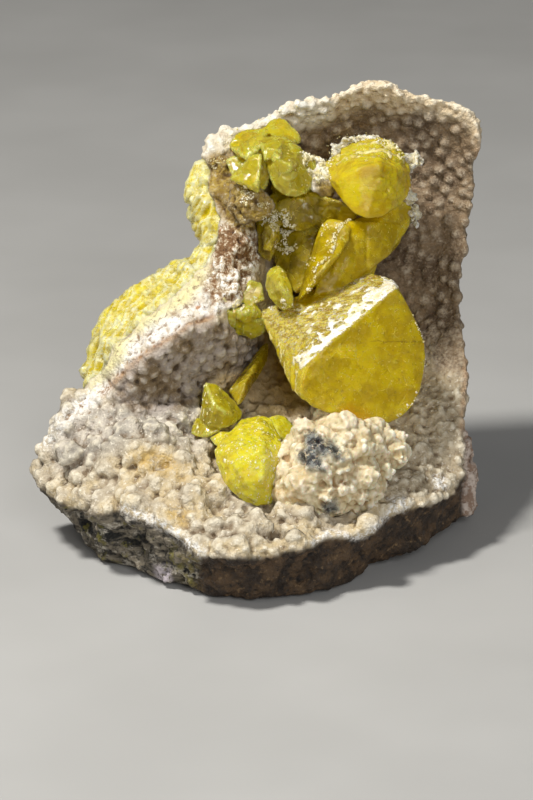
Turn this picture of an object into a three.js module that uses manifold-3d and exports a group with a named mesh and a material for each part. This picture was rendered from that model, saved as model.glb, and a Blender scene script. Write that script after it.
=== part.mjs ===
// Native sulfur crystals on a hand-sized piece of vuggy limestone lined with a pale aragonite and calcite druse.
// Units are millimetres, +Z is up, +X is the specimen's right and -Y is the side the crystals face.
// The origin is under the middle of the specimen, on the plane of its flat base.
import * as THREE from "three";
import { ConvexGeometry } from "three/addons/geometries/ConvexGeometry.js";
import { mergeVertices } from "three/addons/utils/BufferGeometryUtils.js";
import Module from "manifold-3d";

const wasm = await Module();
wasm.setup();

// The show side of the stone leans back. Every control point below is [u, v, w] in that leaning frame:
// u to the right, v up the show side, w out of it.
const LEAN_DEG = 20;
// Height of the trimmed base, along the upright axis through the leaning frame's origin.
const BASE_Z = -22.2;
// Clearance kept between a crystal and whatever it grew on or against.
const GAP = 0.22;
// Cells across and up of the grids that carry the druse surface, the broken face and the hidden side.
const DRUSE_CELLS = [42, 50];
const BROKEN_CELLS = [24, 26];
const BACK_CELLS = [13, 15];
// The stone narrows behind its show side: from this depth back, by this share at the deepest point.
const TAPER_FROM = -7;
const TAPER_SHARE = 0.16;
const DEEPEST = -33;
const PROUDEST = 45;
// Least thickness of the stone.
const THINNEST = 3;

// Outline of the stone, clockwise from its left tip.
const OUTLINE = [
  [-36.2, -12.7, 0], [-34, -9.8, 0], [-33.7, -6.5, 0], [-32.3, -2.8, 0], [-29.4, -0.2, 0], [-27.9, 1.7, -1],
  [-25.8, 3.6, 0], [-23.9, 6, 0], [-23, 8.7, 1], [-20.2, 11.3, 1], [-17.9, 13, 1], [-14.5, 14.9, 1],
  [-12.5, 17.2, 1], [-10.9, 18.9, 1], [-8.6, 21.1, 1], [-7.8, 23.8, 1], [-6.9, 26.6, 1], [-6.6, 28.8, 0],
  [-8.3, 31, 0], [-9.2, 35.2, -1], [-9.6, 38.6, -2], [-8.9, 40.3, -3], [-6.8, 42.6, -4], [-4.1, 42.6, -4],
  [-0.9, 43.4, -4], [2.4, 45.1, -4], [4, 46.3, -4], [7.7, 46.6, -4], [11.5, 48, -4], [14.4, 49.3, -4],
  [16.9, 49.4, -4], [19.1, 49.6, -4], [21.1, 48, -4], [24.9, 47.3, -5], [30.4, 46.4, -5], [33, 43.7, -5],
  [33.7, 40.8, -6], [33.1, 37.6, -7], [33.5, 33.9, -8], [32.1, 28.1, -9], [32.1, 23.2, -9], [31, 18.4, -8],
  [30.9, 13.9, -7], [31.2, 8.6, -6], [31.6, 3.1, -4], [30.7, -2.2, -2], [30.4, -5.4, 0], [30.2, -11.3, 2],
  [30, -15.5, 1], [29.9, -18.5, -2], [25.7, -21.3, 4], [20.3, -23.3, 8], [15.5, -25.4, 9], [12.8, -27.8, 14],
  [9, -28.7, 17], [4.3, -29, 18], [1.3, -29.8, 18], [-5.1, -29.3, 18], [-8.4, -29.8, 18], [-11.3, -28.3, 16],
  [-16.5, -27.4, 13], [-20.3, -25.7, 9], [-25.1, -24.9, 6], [-28, -22.4, 3], [-29.1, -20.2, 3], [-31.8, -17.6, 2],
  [-34.1, -15.3, 1], [-35.9, -13.5, 0],
];

// Druse-lined surface: floor of the vug, its back wall with the raised rim, and the ridge along the left.
const DRUSE_SURFACE = [
  [-9.7, -22.5, 24], [-5.2, -22.6, 24.3], [-0.8, -22.5, 24], [5.9, -21.3, 22], [8.5, -20, 20], [14.7, -20.1, 18.5],
  [16.9, -17.9, 14.5], [20.2, -16.3, 12], [24.4, -15.9, 9.5], [28.2, -14.4, 6], [30.1, -11.3, 2.5], [-12.2, -20.3, 21.5],
  [-16.4, -18.3, 18.5], [-21.8, -16.1, 14], [-24, -16.9, 13], [-29.4, -16.2, 8], [-32.8, -14.9, 4], [-36.2, -12.6, 0.5],
  [-9.5, -29.4, 36], [1.2, -29.5, 34], [10.9, -29.7, 30], [20.1, -24, 22], [27.9, -21.3, 13], [31.2, -18.4, 7],
  [-18.8, -26.8, 28], [-28.2, -24.2, 18], [-34.8, -18.4, 7], [-39.8, -12.4, -1], [-5.5, -18.1, 19], [5.1, -17, 15.5],
  [12.7, -16, 13], [20.5, -12, 7.5], [25.2, -10, 4], [26.9, -6.2, 1], [-2.5, -12.2, 12.5], [-10.1, -13.7, 15],
  [-10.2, -8.4, 8.5], [-17.7, -12.2, 14], [-25.4, -12.2, 10], [-31.8, -10.5, 4], [-33.5, -7, 1], [-28.7, -6.2, 5.5],
  [-22.4, -6.1, 9], [-16.3, -6.1, 10], [-11.8, -4.9, 5], [-7.2, -6.2, 4], [-2.5, -6.2, 1.5], [0.5, -2.3, -3],
  [5.2, -4.7, -1], [12.9, -4.6, 1], [20.7, -4.7, 0.5], [10.5, -10.7, 8], [17.5, -9.2, 5], [-5.4, 0, -7],
  [-1, 2.4, -10], [3.7, 0, -7], [-0.4, 8.2, -12], [2.9, 9.5, -13], [-1.8, 4.4, -9], [-0.7, 1.9, -10],
  [5.3, 4.7, -11], [27, 0, -3], [30.1, 0, -3], [27.2, 7.8, -8], [27.3, 15.8, -11.5], [27.4, 23.7, -13],
  [27.4, 31.6, -13], [27.3, 39.4, -11.5], [27.2, 44.2, -8], [31.9, 42.3, -7], [33.4, 40.7, -6], [31.2, 37, -10],
  [30.8, 28.4, -11.5], [30.4, 18.9, -9.5], [30.6, 9.4, -7.5], [25.6, 46.9, -5.5], [20.8, 47.4, -4.5], [17.7, 49.3, -4],
  [14.6, 49.3, -4], [11.5, 47.9, -4], [7.7, 46.6, -4], [4, 46.3, -4], [30.4, 46.4, -5.5], [21.1, 39.4, -12],
  [16.2, 45.2, -9], [21, 44, -10], [13.1, 43.3, -10.5], [10, 40.2, -11.5], [5.2, 42.3, -8], [8.4, 45.1, -6.5],
  [2.1, 39.3, -9], [-0.7, 43.1, -5], [-4.1, 42.1, -4], [13.2, 31.6, -14], [5.3, 31.6, -13], [5.3, 22.1, -14],
  [13.2, 15.8, -15], [21.1, 22.1, -14], [21.1, 7.9, -12], [17.8, 0, -6], [24, 1.6, -6], [13.2, 7.9, -14],
  [36.4, 43.7, -4], [36.6, 23.5, -8], [36.2, 0, -1], [20.8, 52.9, -2], [5.2, 49.8, -2], [-27.8, 1.7, 0],
  [-25.7, 3.6, 2], [-22.9, 8.6, 3], [-20.1, 11.3, 3], [-17.8, 13, 3.5], [-14.4, 14.8, 4], [-12.4, 17.1, 3.5],
  [-10.9, 18.8, 3], [-8.6, 21, 3], [-29.3, -0.1, 1], [-32.3, -2.8, 1], [-34, -9.8, 0], [-23.6, 2.3, 6],
  [-21.4, 4.6, 8.5], [-19.2, 6.1, 9.5], [-17, 7.6, 10], [-14.4, 9, 10], [-12, 10.7, 9.5], [-10, 11.8, 8.5],
  [-8.4, 12.4, 7.5], [-5.6, 15.4, 6], [-3.3, 17.7, 4], [-15.6, 5.4, 7], [-12.5, 6.9, 6], [-9.5, 7.7, 5],
  [-6.4, 8.5, 4], [-4.4, 8.5, 3], [-2.5, 10.1, 1.5], [-17.9, 2.3, 6], [-14.9, 0.8, 3.5], [-11.8, 2.3, 3],
  [-9.5, 4.3, 2.5], [-6.9, 5, 2], [-4.4, 6.2, 1], [-21, -0.8, 5.5], [-15.7, -1.9, 4], [-11.8, -1.2, 2.5],
  [-7.8, 23.8, 2], [-6.9, 26.6, 2], [-6.4, 28.8, 1], [-8.3, 31, 0], [-9.2, 35.2, -1], [-9.4, 38.6, -2],
  [-6.8, 42.4, -4], [-4.8, 22.3, 5], [-4.1, 26.2, 4], [-1.8, 24.7, 2], [-0.7, 21, -2], [-0.7, 17.1, -3],
  [-5.6, 30.9, 2], [-2.5, 29.4, 1], [-4.1, 35.7, -1], [-1.8, 33.5, -3], [0.6, 31.4, -8], [1.3, 26.7, -9],
  [2.9, 20.5, -11], [-16.5, 18.6, 0], [-25.9, 10.9, -1], [-11.9, 24.8, 0], [-11.9, 34.2, -3], [-32.1, 3.1, -1],
];

// Broken face under the front rim of the floor.
const BROKEN_FACE = [
  [-9.7, -22.5, 24], [-5.2, -22.6, 24.3], [-0.8, -22.5, 24], [5.9, -21.3, 22], [8.5, -20, 20], [14.7, -20.1, 18.5],
  [16.9, -17.9, 14.5], [20.2, -16.3, 12], [24.4, -15.9, 9.5], [28.2, -14.4, 6], [30.1, -11.3, 2.5], [-12.2, -20.3, 21.5],
  [-16.4, -18.3, 18.5], [-21.8, -16.1, 14], [-24, -16.9, 13], [-29.4, -16.2, 8], [-32.8, -14.9, 4], [-36.2, -12.6, 0.5],
  [-8.4, -29.8, 18], [-5.1, -29.3, 18.5], [1.3, -29.8, 18], [4.3, -29, 17.5], [9, -28.7, 17], [12.8, -27.8, 13.5],
  [15.5, -25.4, 9.5], [20.3, -23.3, 7.5], [25.7, -21.3, 3.5], [29.9, -18.5, -2.5], [-11.3, -28.3, 16], [-16.5, -27.4, 12.5],
  [-20.3, -25.7, 9], [-25.1, -24.9, 5.5], [-28, -22.4, 3], [-31.8, -17.6, 1.5], [-35.9, -13.5, -0.5], [-9.2, -25.8, 22],
  [0.5, -26.1, 22], [11.1, -24.2, 17.5], [18.9, -20.6, 11], [-20.8, -20.5, 13], [-25.5, -19.9, 9], [26.8, -17.7, 4],
  [-5.3, -14.7, 38], [9.4, -11.9, 30], [23.1, -7.5, 20], [32.6, -4.6, 10], [-17.3, -10.4, 30], [-31.5, -6.1, 12],
  [-41.3, -10.8, 0], [-5.6, -36.6, 12], [9.7, -33.5, 12], [25.4, -27.9, 0], [-21, -32.4, 4], [-35.3, -20.3, -4],
];

// Hidden side of the stone.
const BACK_SURFACE = [
  [-32.3, -6.2, -6], [-36.1, -12.5, -4], [-29.3, -15.7, -10], [-26.3, 0, -12], [-21.6, 7.9, -13], [-13.7, 17.4, -14],
  [-8.1, 31.6, -14], [-8.1, 41.1, -13], [-1, 43.5, -14], [10.1, 47.5, -15], [21.1, 49.1, -15], [32.2, 45.9, -14],
  [33.2, 31.8, -18], [32.1, 15.9, -19], [31.6, 0, -19], [30.9, -12.8, -20], [27.7, -20.8, -22], [13.5, -27.4, -29],
  [-2.7, -30.7, -30], [-18.7, -25.7, -24], [-27.9, -22.1, -14], [-2.7, -8.1, -29], [10.3, -8.1, -30], [21.5, 0, -26],
  [13.4, 16, -24], [21.3, 31.9, -20], [5.4, 24, -22], [-2.6, 11.2, -23], [-13.8, -3.2, -22], [24.4, 42.9, -17],
  [5.3, 39.8, -18],
];

// Flake of wall standing off behind the lower right edge.
const EDGE_FLAKE = [
  [30.6, -5.6, -7], [31.8, -6.7, -8], [32.3, -8.8, -9], [32.4, -11.5, -9], [31.8, -13.8, -9], [32.1, -15.7, -9],
  [32.7, -17.4, -9], [31.8, -18.2, -9], [30.2, -18.7, -8], [28.3, -15.8, -12], [28.6, -7.9, -12], [31, -6.3, -16],
  [31.9, -11.9, -18], [31.1, -17.1, -17],
];

// Brown block of host rock that carries the upper left crystals.
const HOST_BLOCK = [
    [-5.9, 33.4, 5], [-4.1, 33.1, 7], [-1.5, 31.8, 7.5], [0.8, 31.4, 6], [1.6, 30.1, 4], [0.5, 28.1, 4],
    [-1.3, 26.8, 5], [-3, 27.1, 5.5], [-4.4, 28.3, 5.5], [-5.5, 30, 5], [-4.9, 32.8, -5], [-0.2, 30.5, -6],
    [-2.9, 28.9, -4],
  ];

// Each crystal is one or more convex bodies grown into each other, given by their corners.
const CRYSTALS = {
  sulfur_bright: [[
    [-3.8, -3.1, 8], [-1.9, -2.8, 7.5], [-0.9, -2.4, 7], [0.4, -2.8, 7.5], [1.2, -4.7, 9], [2.2, -6.1, 10],
    [2.5, -8.4, 11.5], [2, -10.7, 13], [1.3, -12.9, 15], [0.4, -15, 17], [-1.6, -15.4, 18], [-3.5, -14.2, 18],
    [-4.9, -12.2, 17], [-5.8, -10.6, 16], [-6.7, -8.5, 14], [-7.2, -7.4, 12.5], [-5.6, -5.3, 10], [-3.6, -6.1, 14.5],
    [-0.7, -5.8, 14.5], [-4.3, -9.4, 18], [-0.7, -9.9, 19], [-2.2, -12.8, 19.5], [-0.7, -13.6, 18.5], [-4.1, -4.6, 2],
    [0.2, -4.3, 1], [1.3, -8.5, 3], [-1.3, -14.1, 8], [-4.8, -11.5, 7],
  ], [
    [-8.7, -5.8, 9], [-6.8, -4.8, 9.5], [-5.3, -5.2, 10], [-6.5, -7.5, 13], [-7.5, -7, 11], [-8, -6.2, 3],
    [-6.4, -6.2, 3],
  ]],
  sulfur_small_left: [[
    [-9.4, 2.7, 8], [-7.8, 2.5, 7.5], [-6.4, 1.2, 7], [-4.8, -0.5, 6.5], [-3.8, -1.8, 6.5], [-4, -2.9, 7.5],
    [-5.6, -3.9, 9], [-7.3, -4.3, 9.5], [-8.9, -4, 9], [-10.2, -2.8, 8], [-9.7, 0.5, 8], [-7.9, -0.8, 11],
    [-6.3, -1.8, 11], [-9.1, 1.6, 0], [-5.4, -1.2, -2], [-4.9, -3.1, 0], [-9.1, -3.1, 1],
  ], [
    [-10.7, -2.6, 7], [-11.4, -4.1, 7], [-11.6, -5.2, 7.5], [-10.3, -5.7, 8], [-9.1, -5.5, 8.5], [-7, -4.8, 8.5],
    [-7.9, -3.1, 8.5], [-10.7, -4.6, 2], [-8.4, -5, 2],
  ]],
  sulfur_tip: [[
    [1.8, 20.6, 9.5], [2.8, 19.6, 10], [3.7, 17.6, 11], [4.1, 15.6, 11.5], [4, 14.3, 11], [2.8, 13.9, 10.5],
    [1.4, 14.8, 10], [0.5, 15.8, 9.5], [0, 17.4, 9], [0.1, 19.3, 9], [0.7, 20.1, 9], [2, 17.5, 13],
    [1.8, 20, 5], [3.6, 15.4, 5], [0.8, 16.2, 5], [2.4, 13.8, 5],
  ]],
  sulfur_main: [[
    [8.7, 7.7, 17], [19.7, 17, 13], [21.1, 15.2, 11.6], [22.2, 13.1, 10.4], [23.3, 11, 9.3], [24.1, 8.9, 8.6],
    [24.3, 6.6, 8.2], [24, 4, 8.2], [23.4, 1.2, 8.5], [22.3, -0.9, 9], [20.6, -2.5, 9.6], [18.4, -3.7, 10.5],
    [15.8, -3.7, 12], [12.7, -3, 13.5], [9.6, -2, 15], [6.9, -0.9, 16.2], [5.1, 0.5, 17], [5.4, 3, 17.6],
    [5.8, 4.5, 17.7], [6.8, 9.6, 15.6], [5.4, 14.2, 9], [2.8, 14.9, 6], [-0.5, 14, 3.5], [-0.7, 12.6, 4],
    [0.2, 11.1, 5.5], [1.3, 9.8, 7.5], [2.2, 6.4, 10], [3.1, 3.8, 12], [4, 1.5, 14], [12.8, 17.9, 5],
    [9.8, 17.7, 4], [16.2, 19.3, 4.5], [19.3, 18.6, 7], [2.9, 12.6, -6], [7.2, 15.3, -10], [13.3, 16.8, -11],
    [18.4, 16.1, -8], [20.4, 12.9, -9], [21.9, 8.6, -10], [22, 5.3, -9], [20.7, 1.6, -6], [17.5, -0.4, -4],
    [10.8, 1.2, -5], [7.2, 3.1, -7], [5, 7.3, -8],
  ], [
    [8.1, 26.2, 5], [8.7, 27.2, 5], [9.9, 27.7, 5.5], [11.6, 27.3, 6.5], [12.8, 26.4, 7], [12.5, 24.5, 8.5],
    [11.4, 22.5, 10], [9.5, 20.9, 11], [7.1, 18.1, 11.5], [5.6, 15.7, 11], [4.8, 15.1, 9.5], [5.6, 17.6, 8.5],
    [7.1, 20.7, 8], [7.9, 23.5, 6.5], [8.6, 26.8, -3], [12.2, 26.8, -4], [11.4, 22.6, -3], [6, 15.8, 0],
    [5.2, 15.8, 2],
  ], [
    [13.6, 27.6, 4], [17.2, 27.1, 5], [20.6, 30.6, 2], [22.6, 30.1, 0], [22.2, 27.3, 0], [20.5, 24.5, 1],
    [18.6, 22.4, 2], [17.1, 21.2, 2.5], [13.1, 21.2, 6], [10.5, 18.4, 6], [12.1, 24.6, 7], [14.7, 29.1, -11],
    [21.6, 30.6, -11], [21.7, 27.4, -12], [18.7, 23, -12], [12.4, 18.1, -11], [10.8, 25.1, -9],
  ], [
    [12.1, 24.6, 6], [12.8, 21.2, 7], [17.1, 21.1, 3], [16.3, 18.8, 3], [12.8, 17.2, 5], [8.5, 14.4, 7],
    [7, 15.3, 7], [8.5, 19.2, 7], [9.2, 17.3, -10], [15.5, 19.7, -12], [13.2, 24.4, -11],
  ], [
    [12.5, 27.4, 6], [17.1, 27.1, 5.5], [20.9, 26.9, 2], [19.2, 22.7, 3.5], [15.9, 20.4, 4], [12.8, 18.1, 6],
    [9.8, 17.3, 7], [10.7, 21.2, 7.5], [11.7, 23.8, 7.5], [13.1, 26.7, -8], [18.6, 25.9, -9], [16.2, 21.7, -9],
    [11.5, 18.8, -8],
  ]],
  sulfur_upper: [[
    [8.9, 35, 3], [10, 36.6, 2], [11.1, 38.1, 0.5], [12.7, 39.3, -1.5], [14.4, 40.2, -3], [17.2, 40.7, -3.5],
    [19.5, 40, -3], [21, 38, -1], [22.1, 35.3, 1], [22.2, 33.1, 2.5], [21.5, 31.1, 4], [20.4, 30.1, 5.5],
    [19.3, 29.2, 7], [17.9, 28.2, 8], [15.4, 27.7, 9], [13.4, 28.6, 9], [11.9, 30.2, 8.5], [11.3, 32.5, 8],
    [11.7, 34, 8.5], [14.3, 35.5, 10], [17.4, 36.1, 10], [20.2, 35.3, 7], [12.8, 35.3, -11], [15, 37.5, -13],
    [18.2, 37.5, -13], [19.3, 35.2, -13], [18.7, 32.5, -12], [15.8, 31.8, -10], [14.1, 32.9, -10],
  ]],
  sulfur_upper_left: [[
    [-0.2, 39.8, 4], [1.2, 40.8, 3.5], [2.5, 40.4, 4], [3.9, 39.5, 5], [5.3, 38.5, 5.5], [6.4, 37.2, 5],
    [7, 35.2, 5], [6.5, 32.8, 5.5], [5.8, 31.8, 6.5], [4.7, 31.2, 7], [3.1, 31.3, 7.5], [1.9, 31.9, 7.5],
    [0.8, 34, 7.5], [-0.4, 36.9, 6], [1.3, 37, 9], [3.6, 35.9, 9.5], [0.6, 39.9, -6], [5.2, 38.4, -7],
    [5.7, 33.6, -5], [2.1, 33.1, -4],
  ], [
    [-5.8, 39.2, 3], [-4.6, 41.3, 1], [-2.2, 42, 1], [0.1, 42.3, 1], [0.2, 41.1, 3], [-0.4, 39.9, 5],
    [-1.3, 38.4, 6], [-3, 36.9, 6.5], [-4.1, 37.7, 5.5], [-5.4, 39.4, -5], [-4.1, 41.3, -6], [-0.2, 41.9, -6],
    [-2.9, 38, -3],
  ], [
    [-0.1, 42.3, 1], [0.8, 43.2, 0.5], [2.1, 43.8, 0], [3, 43.4, 0.5], [4.1, 41.9, 1.5], [5, 40.7, 2],
    [5.2, 39.7, 3], [3.6, 39.5, 4], [1.3, 40.7, 3.5], [0.1, 41.2, 2.5], [0.6, 42.5, -6], [2.7, 43.2, -7],
    [4.5, 41, -6],
  ]],
  sulfur_wing: [[
    [-2.2, 37.6, 7.5], [-0.7, 37.7, 8], [-0.8, 36, 9], [-1.1, 34.4, 9.5], [-1.4, 33, 9.5], [-1.2, 31.7, 8.5],
    [-2.5, 32.6, 9], [-4.1, 33.4, 8.5], [-5.7, 33.9, 7], [-4.7, 34.4, 7.5], [-3.6, 35.6, 7.5], [-2.5, 37.2, 1],
    [-1.8, 34.1, 1], [-4.9, 34, 2],
  ]],
  sulfur_plate: [[
    [6.6, 31.9, 1], [7, 34.6, 2], [9, 34.2, 4], [11.5, 32.3, 5.5], [12.2, 29.9, 5], [10.8, 28.6, 5],
    [8.6, 29.9, 3], [7.1, 32.9, -8], [11.5, 32.2, -9], [10.7, 30.1, -8],
  ], [
    [1.9, 31.8, -3], [5.2, 31.7, -2.5], [7.1, 31.1, -1.5], [10.9, 28.5, 0], [8.6, 26.6, 1], [8, 23.3, 0],
    [6, 17.8, 1], [4.6, 16.6, 0], [2.4, 19.5, -3], [0.2, 23.4, -4], [-0.2, 28.9, -4], [2.1, 30.8, -13],
    [8.4, 29.2, -13], [6.9, 20.5, -13], [1.3, 24.5, -13],
  ]],
  sulfur_under_ridge: [[
    [-7.8, 12.9, 4], [-6.4, 13.7, 5], [-4.8, 14.2, 5], [-1.8, 14.8, 4.5], [-0.7, 13.4, 4], [-0.2, 11.6, 3],
    [-0.7, 10.2, 2], [-2.5, 9.7, 2], [-4.1, 10, 3], [-6.7, 11.2, 4], [-3.3, 13.1, 6], [-7, 12.8, -6],
    [-1.3, 13.8, -8], [-1.8, 11, -8], [-5.7, 11.6, -6],
  ], [
    [-4.7, 13.8, 6.5], [-2.5, 14.4, 6.5], [-1.3, 13.5, 6], [-1.9, 12.2, 5.5], [-3.5, 11.8, 6], [-4.7, 12.6, 6.5],
    [-3.1, 13.3, 8], [-3.3, 13.3, 0],
  ]],
  sulfur_stick: [[
    [-5.8, 1.4, 3], [-3.8, 3.6, 1.5], [-2.2, 5.3, 0], [-0.7, 8.4, -3], [0.2, 9, -4], [0.1, 6.2, -2.5],
    [-1.2, 4, -0.5], [-2.7, 1.7, 2], [-3.8, -0.1, 4], [-4.4, -0.7, 4.5], [-3.2, 2.6, 4.5], [-4.2, 0.8, -8],
    [-0.7, 7.6, -12], [-3.4, 2.5, -9],
  ]],
  sulfur_behind: [[
    [0.2, -2.8, 4], [1.8, -2.3, 3.5], [2.9, -2.6, 3.5], [4.2, -4.2, 4], [4.5, -5.4, 5], [2.7, -6.3, 6.5],
    [1.3, -5.2, 7], [1.3, -3.4, -5], [3.7, -4.7, -5], [2.4, -5.6, -3],
  ]],
  sulfur_left: [[
    [-28, 1.9, -3], [-28.1, 5.2, -4], [-27.5, 7.8, -4], [-26.7, 9.8, -4], [-25.6, 12.2, -4], [-24.6, 13.9, -4],
    [-22.5, 15.6, -4], [-25.8, 3.6, -0.5], [-23.9, 6, 1], [-22.8, 8.7, 1.5], [-21.4, 10.1, 1.5], [-20.2, 11.3, 1.5],
    [-27.5, 2.4, -12], [-27.1, 8.7, -13], [-22.8, 15, -13], [-21.5, 11, -12], [-25.4, 3.9, -11],
  ], [
    [-23.5, 15.1, -4], [-22.4, 15.8, -4], [-20.4, 16.5, -4], [-18.3, 17.1, -4], [-16.1, 18.7, -4], [-14.7, 20.7, -4],
    [-14, 21.4, -4], [-12.7, 21.4, -3.5], [-12.1, 21.6, -3], [-22.7, 8.7, 1], [-20.2, 11.3, 2], [-17.9, 13, 2],
    [-14.4, 14.8, 2], [-12.4, 17.2, 2], [-10.9, 18.9, 2], [-22.4, 15, -13], [-16, 18.2, -13], [-12.4, 20.9, -13],
    [-12.1, 18.1, -12], [-18.4, 13.4, -12], [-21.5, 11, -12],
  ], [
    [-12.7, 21.4, -4], [-11.2, 22.8, -4], [-9.8, 24, -4], [-8.2, 24.9, -3], [-12.5, 17.2, 0], [-10.9, 18.9, 1.5],
    [-8.6, 21, 1.5], [-7.5, 23.8, 1], [-12.1, 20.8, -12], [-9.2, 24, -12], [-8.6, 22.1, -11], [-11.3, 18.9, -11],
  ], [
    [-9.9, 24.9, -4], [-11, 27.4, -4], [-11.8, 29.9, -4], [-11.4, 31.3, -3], [-9.4, 32.6, -2], [-8.2, 31.1, -1.5],
    [-6.6, 28.9, -0.5], [-6.9, 26.7, 0], [-8.1, 23.9, 0], [-9.4, 23.9, -2], [-10.5, 27.6, -11], [-10, 31.5, -11],
    [-7.6, 29.1, -10], [-8.6, 25.2, -10],
  ], [
    [-12.4, 31.6, -4], [-11.8, 32.9, -4], [-10.8, 34, -4], [-10.7, 36.5, -5], [-9.9, 37.8, -5], [-9.3, 36.6, -3],
    [-9.1, 34.5, -2], [-9.2, 32.3, -2], [-10.7, 30.8, -3], [-11.9, 30.6, -4], [-11.4, 32.3, -11], [-10, 36.2, -11],
    [-9.5, 33, -10],
  ]],
};

// Cream calcite knob under the main crystal, in two lobes.
const KNOB = [[
    [7.2, -2.7, 14.5], [9.5, -0.9, 14], [11, -1.7, 14], [15.2, -3.4, 12.5], [17.5, -4.4, 11.5], [19.1, -4.9, 11],
    [20.7, -7.2, 10.5], [20.4, -8.4, 10.5], [19, -9.5, 11], [17.3, -11.4, 13], [12.6, -12.1, 17], [8.1, -9.1, 18],
    [12.6, -6, 17.5], [16.5, -7.6, 15], [14.5, -4.5, 15.5], [9.8, -4.7, 0], [18.4, -7, 0], [16, -10.8, 2],
  ], [
    [4.6, -4.3, 13], [7.2, -2.7, 14.5], [9.6, -3.8, 17], [12.6, -7.6, 17.5], [16.9, -10.6, 15], [17.9, -11.9, 12.5],
    [16.8, -15.2, 13], [14.2, -16.4, 14], [10.2, -17.4, 15], [7.2, -17.3, 16], [3.9, -17.1, 16], [1.4, -16.1, 16],
    [0.7, -15.3, 16], [0.1, -12.7, 15], [0.7, -10.8, 14], [1.8, -8.4, 12.5], [2.4, -5.5, 12], [8.1, -6.8, 18.5],
    [9.6, -10.5, 20], [5, -12.1, 19.5], [12.6, -13.6, 18], [5.1, -8.3, 17], [6.6, -15.1, 18.5], [5.2, -6.2, 0],
    [14.5, -7, 0], [14.4, -14.6, 4], [3.6, -14.6, 6],
  ]];

const STONE = { color: 0xd6c7a6, roughness: 0.85, metalness: 0 };
const CALCITE = { color: 0xdcc79c, roughness: 0.6, metalness: 0 };
const SULFUR = { color: 0xd2bd12, roughness: 0.25, metalness: 0 };
const SULFUR_PALE = { color: 0xd9d06a, roughness: 0.45, metalness: 0 };
const SULFUR_DARK = { color: 0x8c7a10, roughness: 0.3, metalness: 0 };

// A three.js geometry as a closed solid.
function solid(geometry) {
  const g = geometry.clone();
  g.deleteAttribute("normal");
  g.deleteAttribute("uv");
  const m = mergeVertices(g, 1e-4);
  return new wasm.Manifold(
    new wasm.Mesh({
      numProp: 3,
      vertProperties: new Float32Array(m.attributes.position.array),
      triVerts: new Uint32Array(m.index.array),
    }),
  );
}

// The convex body with these corners, grown outward by `grow` on every side.
function hull(corners, grow = 0) {
  const points = [];
  for (const [x, y, z] of corners)
    if (!grow) points.push(new THREE.Vector3(x, y, z));
    else
      for (const a of [-grow, grow])
        for (const b of [-grow, grow])
          for (const c of [-grow, grow])
            points.push(new THREE.Vector3(x + a, y + b, z + c));
  return solid(new ConvexGeometry(points));
}

const join = (parts) => parts.reduce((a, b) => a.add(b));

// The largest body of a solid.
function largest(s) {
  return s.decompose().sort((a, b) => b.volume() - a.volume())[0];
}

// Smooth height function w(u, v) through scattered control points (linear radial basis with a plane).
function surface(points) {
  const n = points.length,
    size = n + 3,
    rows = [];
  for (let i = 0; i < size; i++) rows.push(new Float64Array(size + 1));
  points.forEach(([u, v, w], i) => {
    points.forEach(([s, t], j) => (rows[i][j] = Math.hypot(u - s, v - t)));
    [1, u, v].forEach((value, k) => {
      rows[i][n + k] = value;
      rows[n + k][i] = value;
    });
    rows[i][size] = w;
  });
  for (let c = 0; c < size; c++) {
    let best = c;
    for (let r = c + 1; r < size; r++)
      if (Math.abs(rows[r][c]) > Math.abs(rows[best][c])) best = r;
    [rows[c], rows[best]] = [rows[best], rows[c]];
    for (let r = c + 1; r < size; r++) {
      const f = rows[r][c] / rows[c][c];
      if (f) for (let k = c; k <= size; k++) rows[r][k] -= f * rows[c][k];
    }
  }
  const x = new Float64Array(size);
  for (let r = size - 1; r >= 0; r--) {
    let sum = rows[r][size];
    for (let k = r + 1; k < size; k++) sum -= rows[r][k] * x[k];
    x[r] = sum / rows[r][r];
  }
  return (u, v) => {
    let w = x[n] + x[n + 1] * u + x[n + 2] * v;
    points.forEach(([s, t], i) => (w += x[i] * Math.hypot(u - s, v - t)));
    return w;
  };
}

const druse = surface(DRUSE_SURFACE);
const broken = surface(BROKEN_FACE);
const back = surface(BACK_SURFACE);
const us = OUTLINE.map((p) => p[0]),
  vs = OUTLINE.map((p) => p[1]);
const [uMin, uMax] = [Math.min(...us) - 1, Math.max(...us) + 1];
const [vMin, vMax] = [Math.min(...vs) - 1, Math.max(...vs) + 1];

// A block over the whole outline, with its proud and deep sides moved onto two height functions.
function blockBetween(deep, proud, [cellsU, cellsV]) {
  const block = new THREE.BoxGeometry(uMax - uMin, vMax - vMin, 2, cellsU, cellsV, 1);
  block.translate((uMin + uMax) / 2, (vMin + vMax) / 2, 0);
  const spots = block.attributes.position;
  for (let i = 0; i < spots.count; i++) {
    const u = spots.getX(i),
      v = spots.getY(i);
    spots.setZ(i, spots.getZ(i) > 0 ? proud(u, v) : deep(u, v));
  }
  return solid(block);
}

const hidden = (u, v) =>
  Math.min(Math.max(back(u, v), DEEPEST), druse(u, v) - THINNEST, broken(u, v) - THINNEST);

const outline = new THREE.Shape(OUTLINE.map(([u, v]) => new THREE.Vector2(u, v)));
const LAYERS = 6;
const prism = new THREE.ExtrudeGeometry(outline, {
  depth: PROUDEST - DEEPEST + 2,
  steps: LAYERS,
  bevelEnabled: false,
});
prism.translate(0, 0, DEEPEST - 1);
const middle = new THREE.Vector2((uMin + uMax) / 2 + 3, (vMin + vMax) / 2 - 3);
const walls = prism.attributes.position;
for (let i = 0; i < walls.count; i++) {
  const depth = Math.max(0, (TAPER_FROM - walls.getZ(i)) / (TAPER_FROM - DEEPEST));
  const keep = 1 - TAPER_SHARE * depth;
  walls.setXY(
    i,
    middle.x + (walls.getX(i) - middle.x) * keep,
    middle.y + (walls.getY(i) - middle.y) * keep,
  );
}

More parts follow.
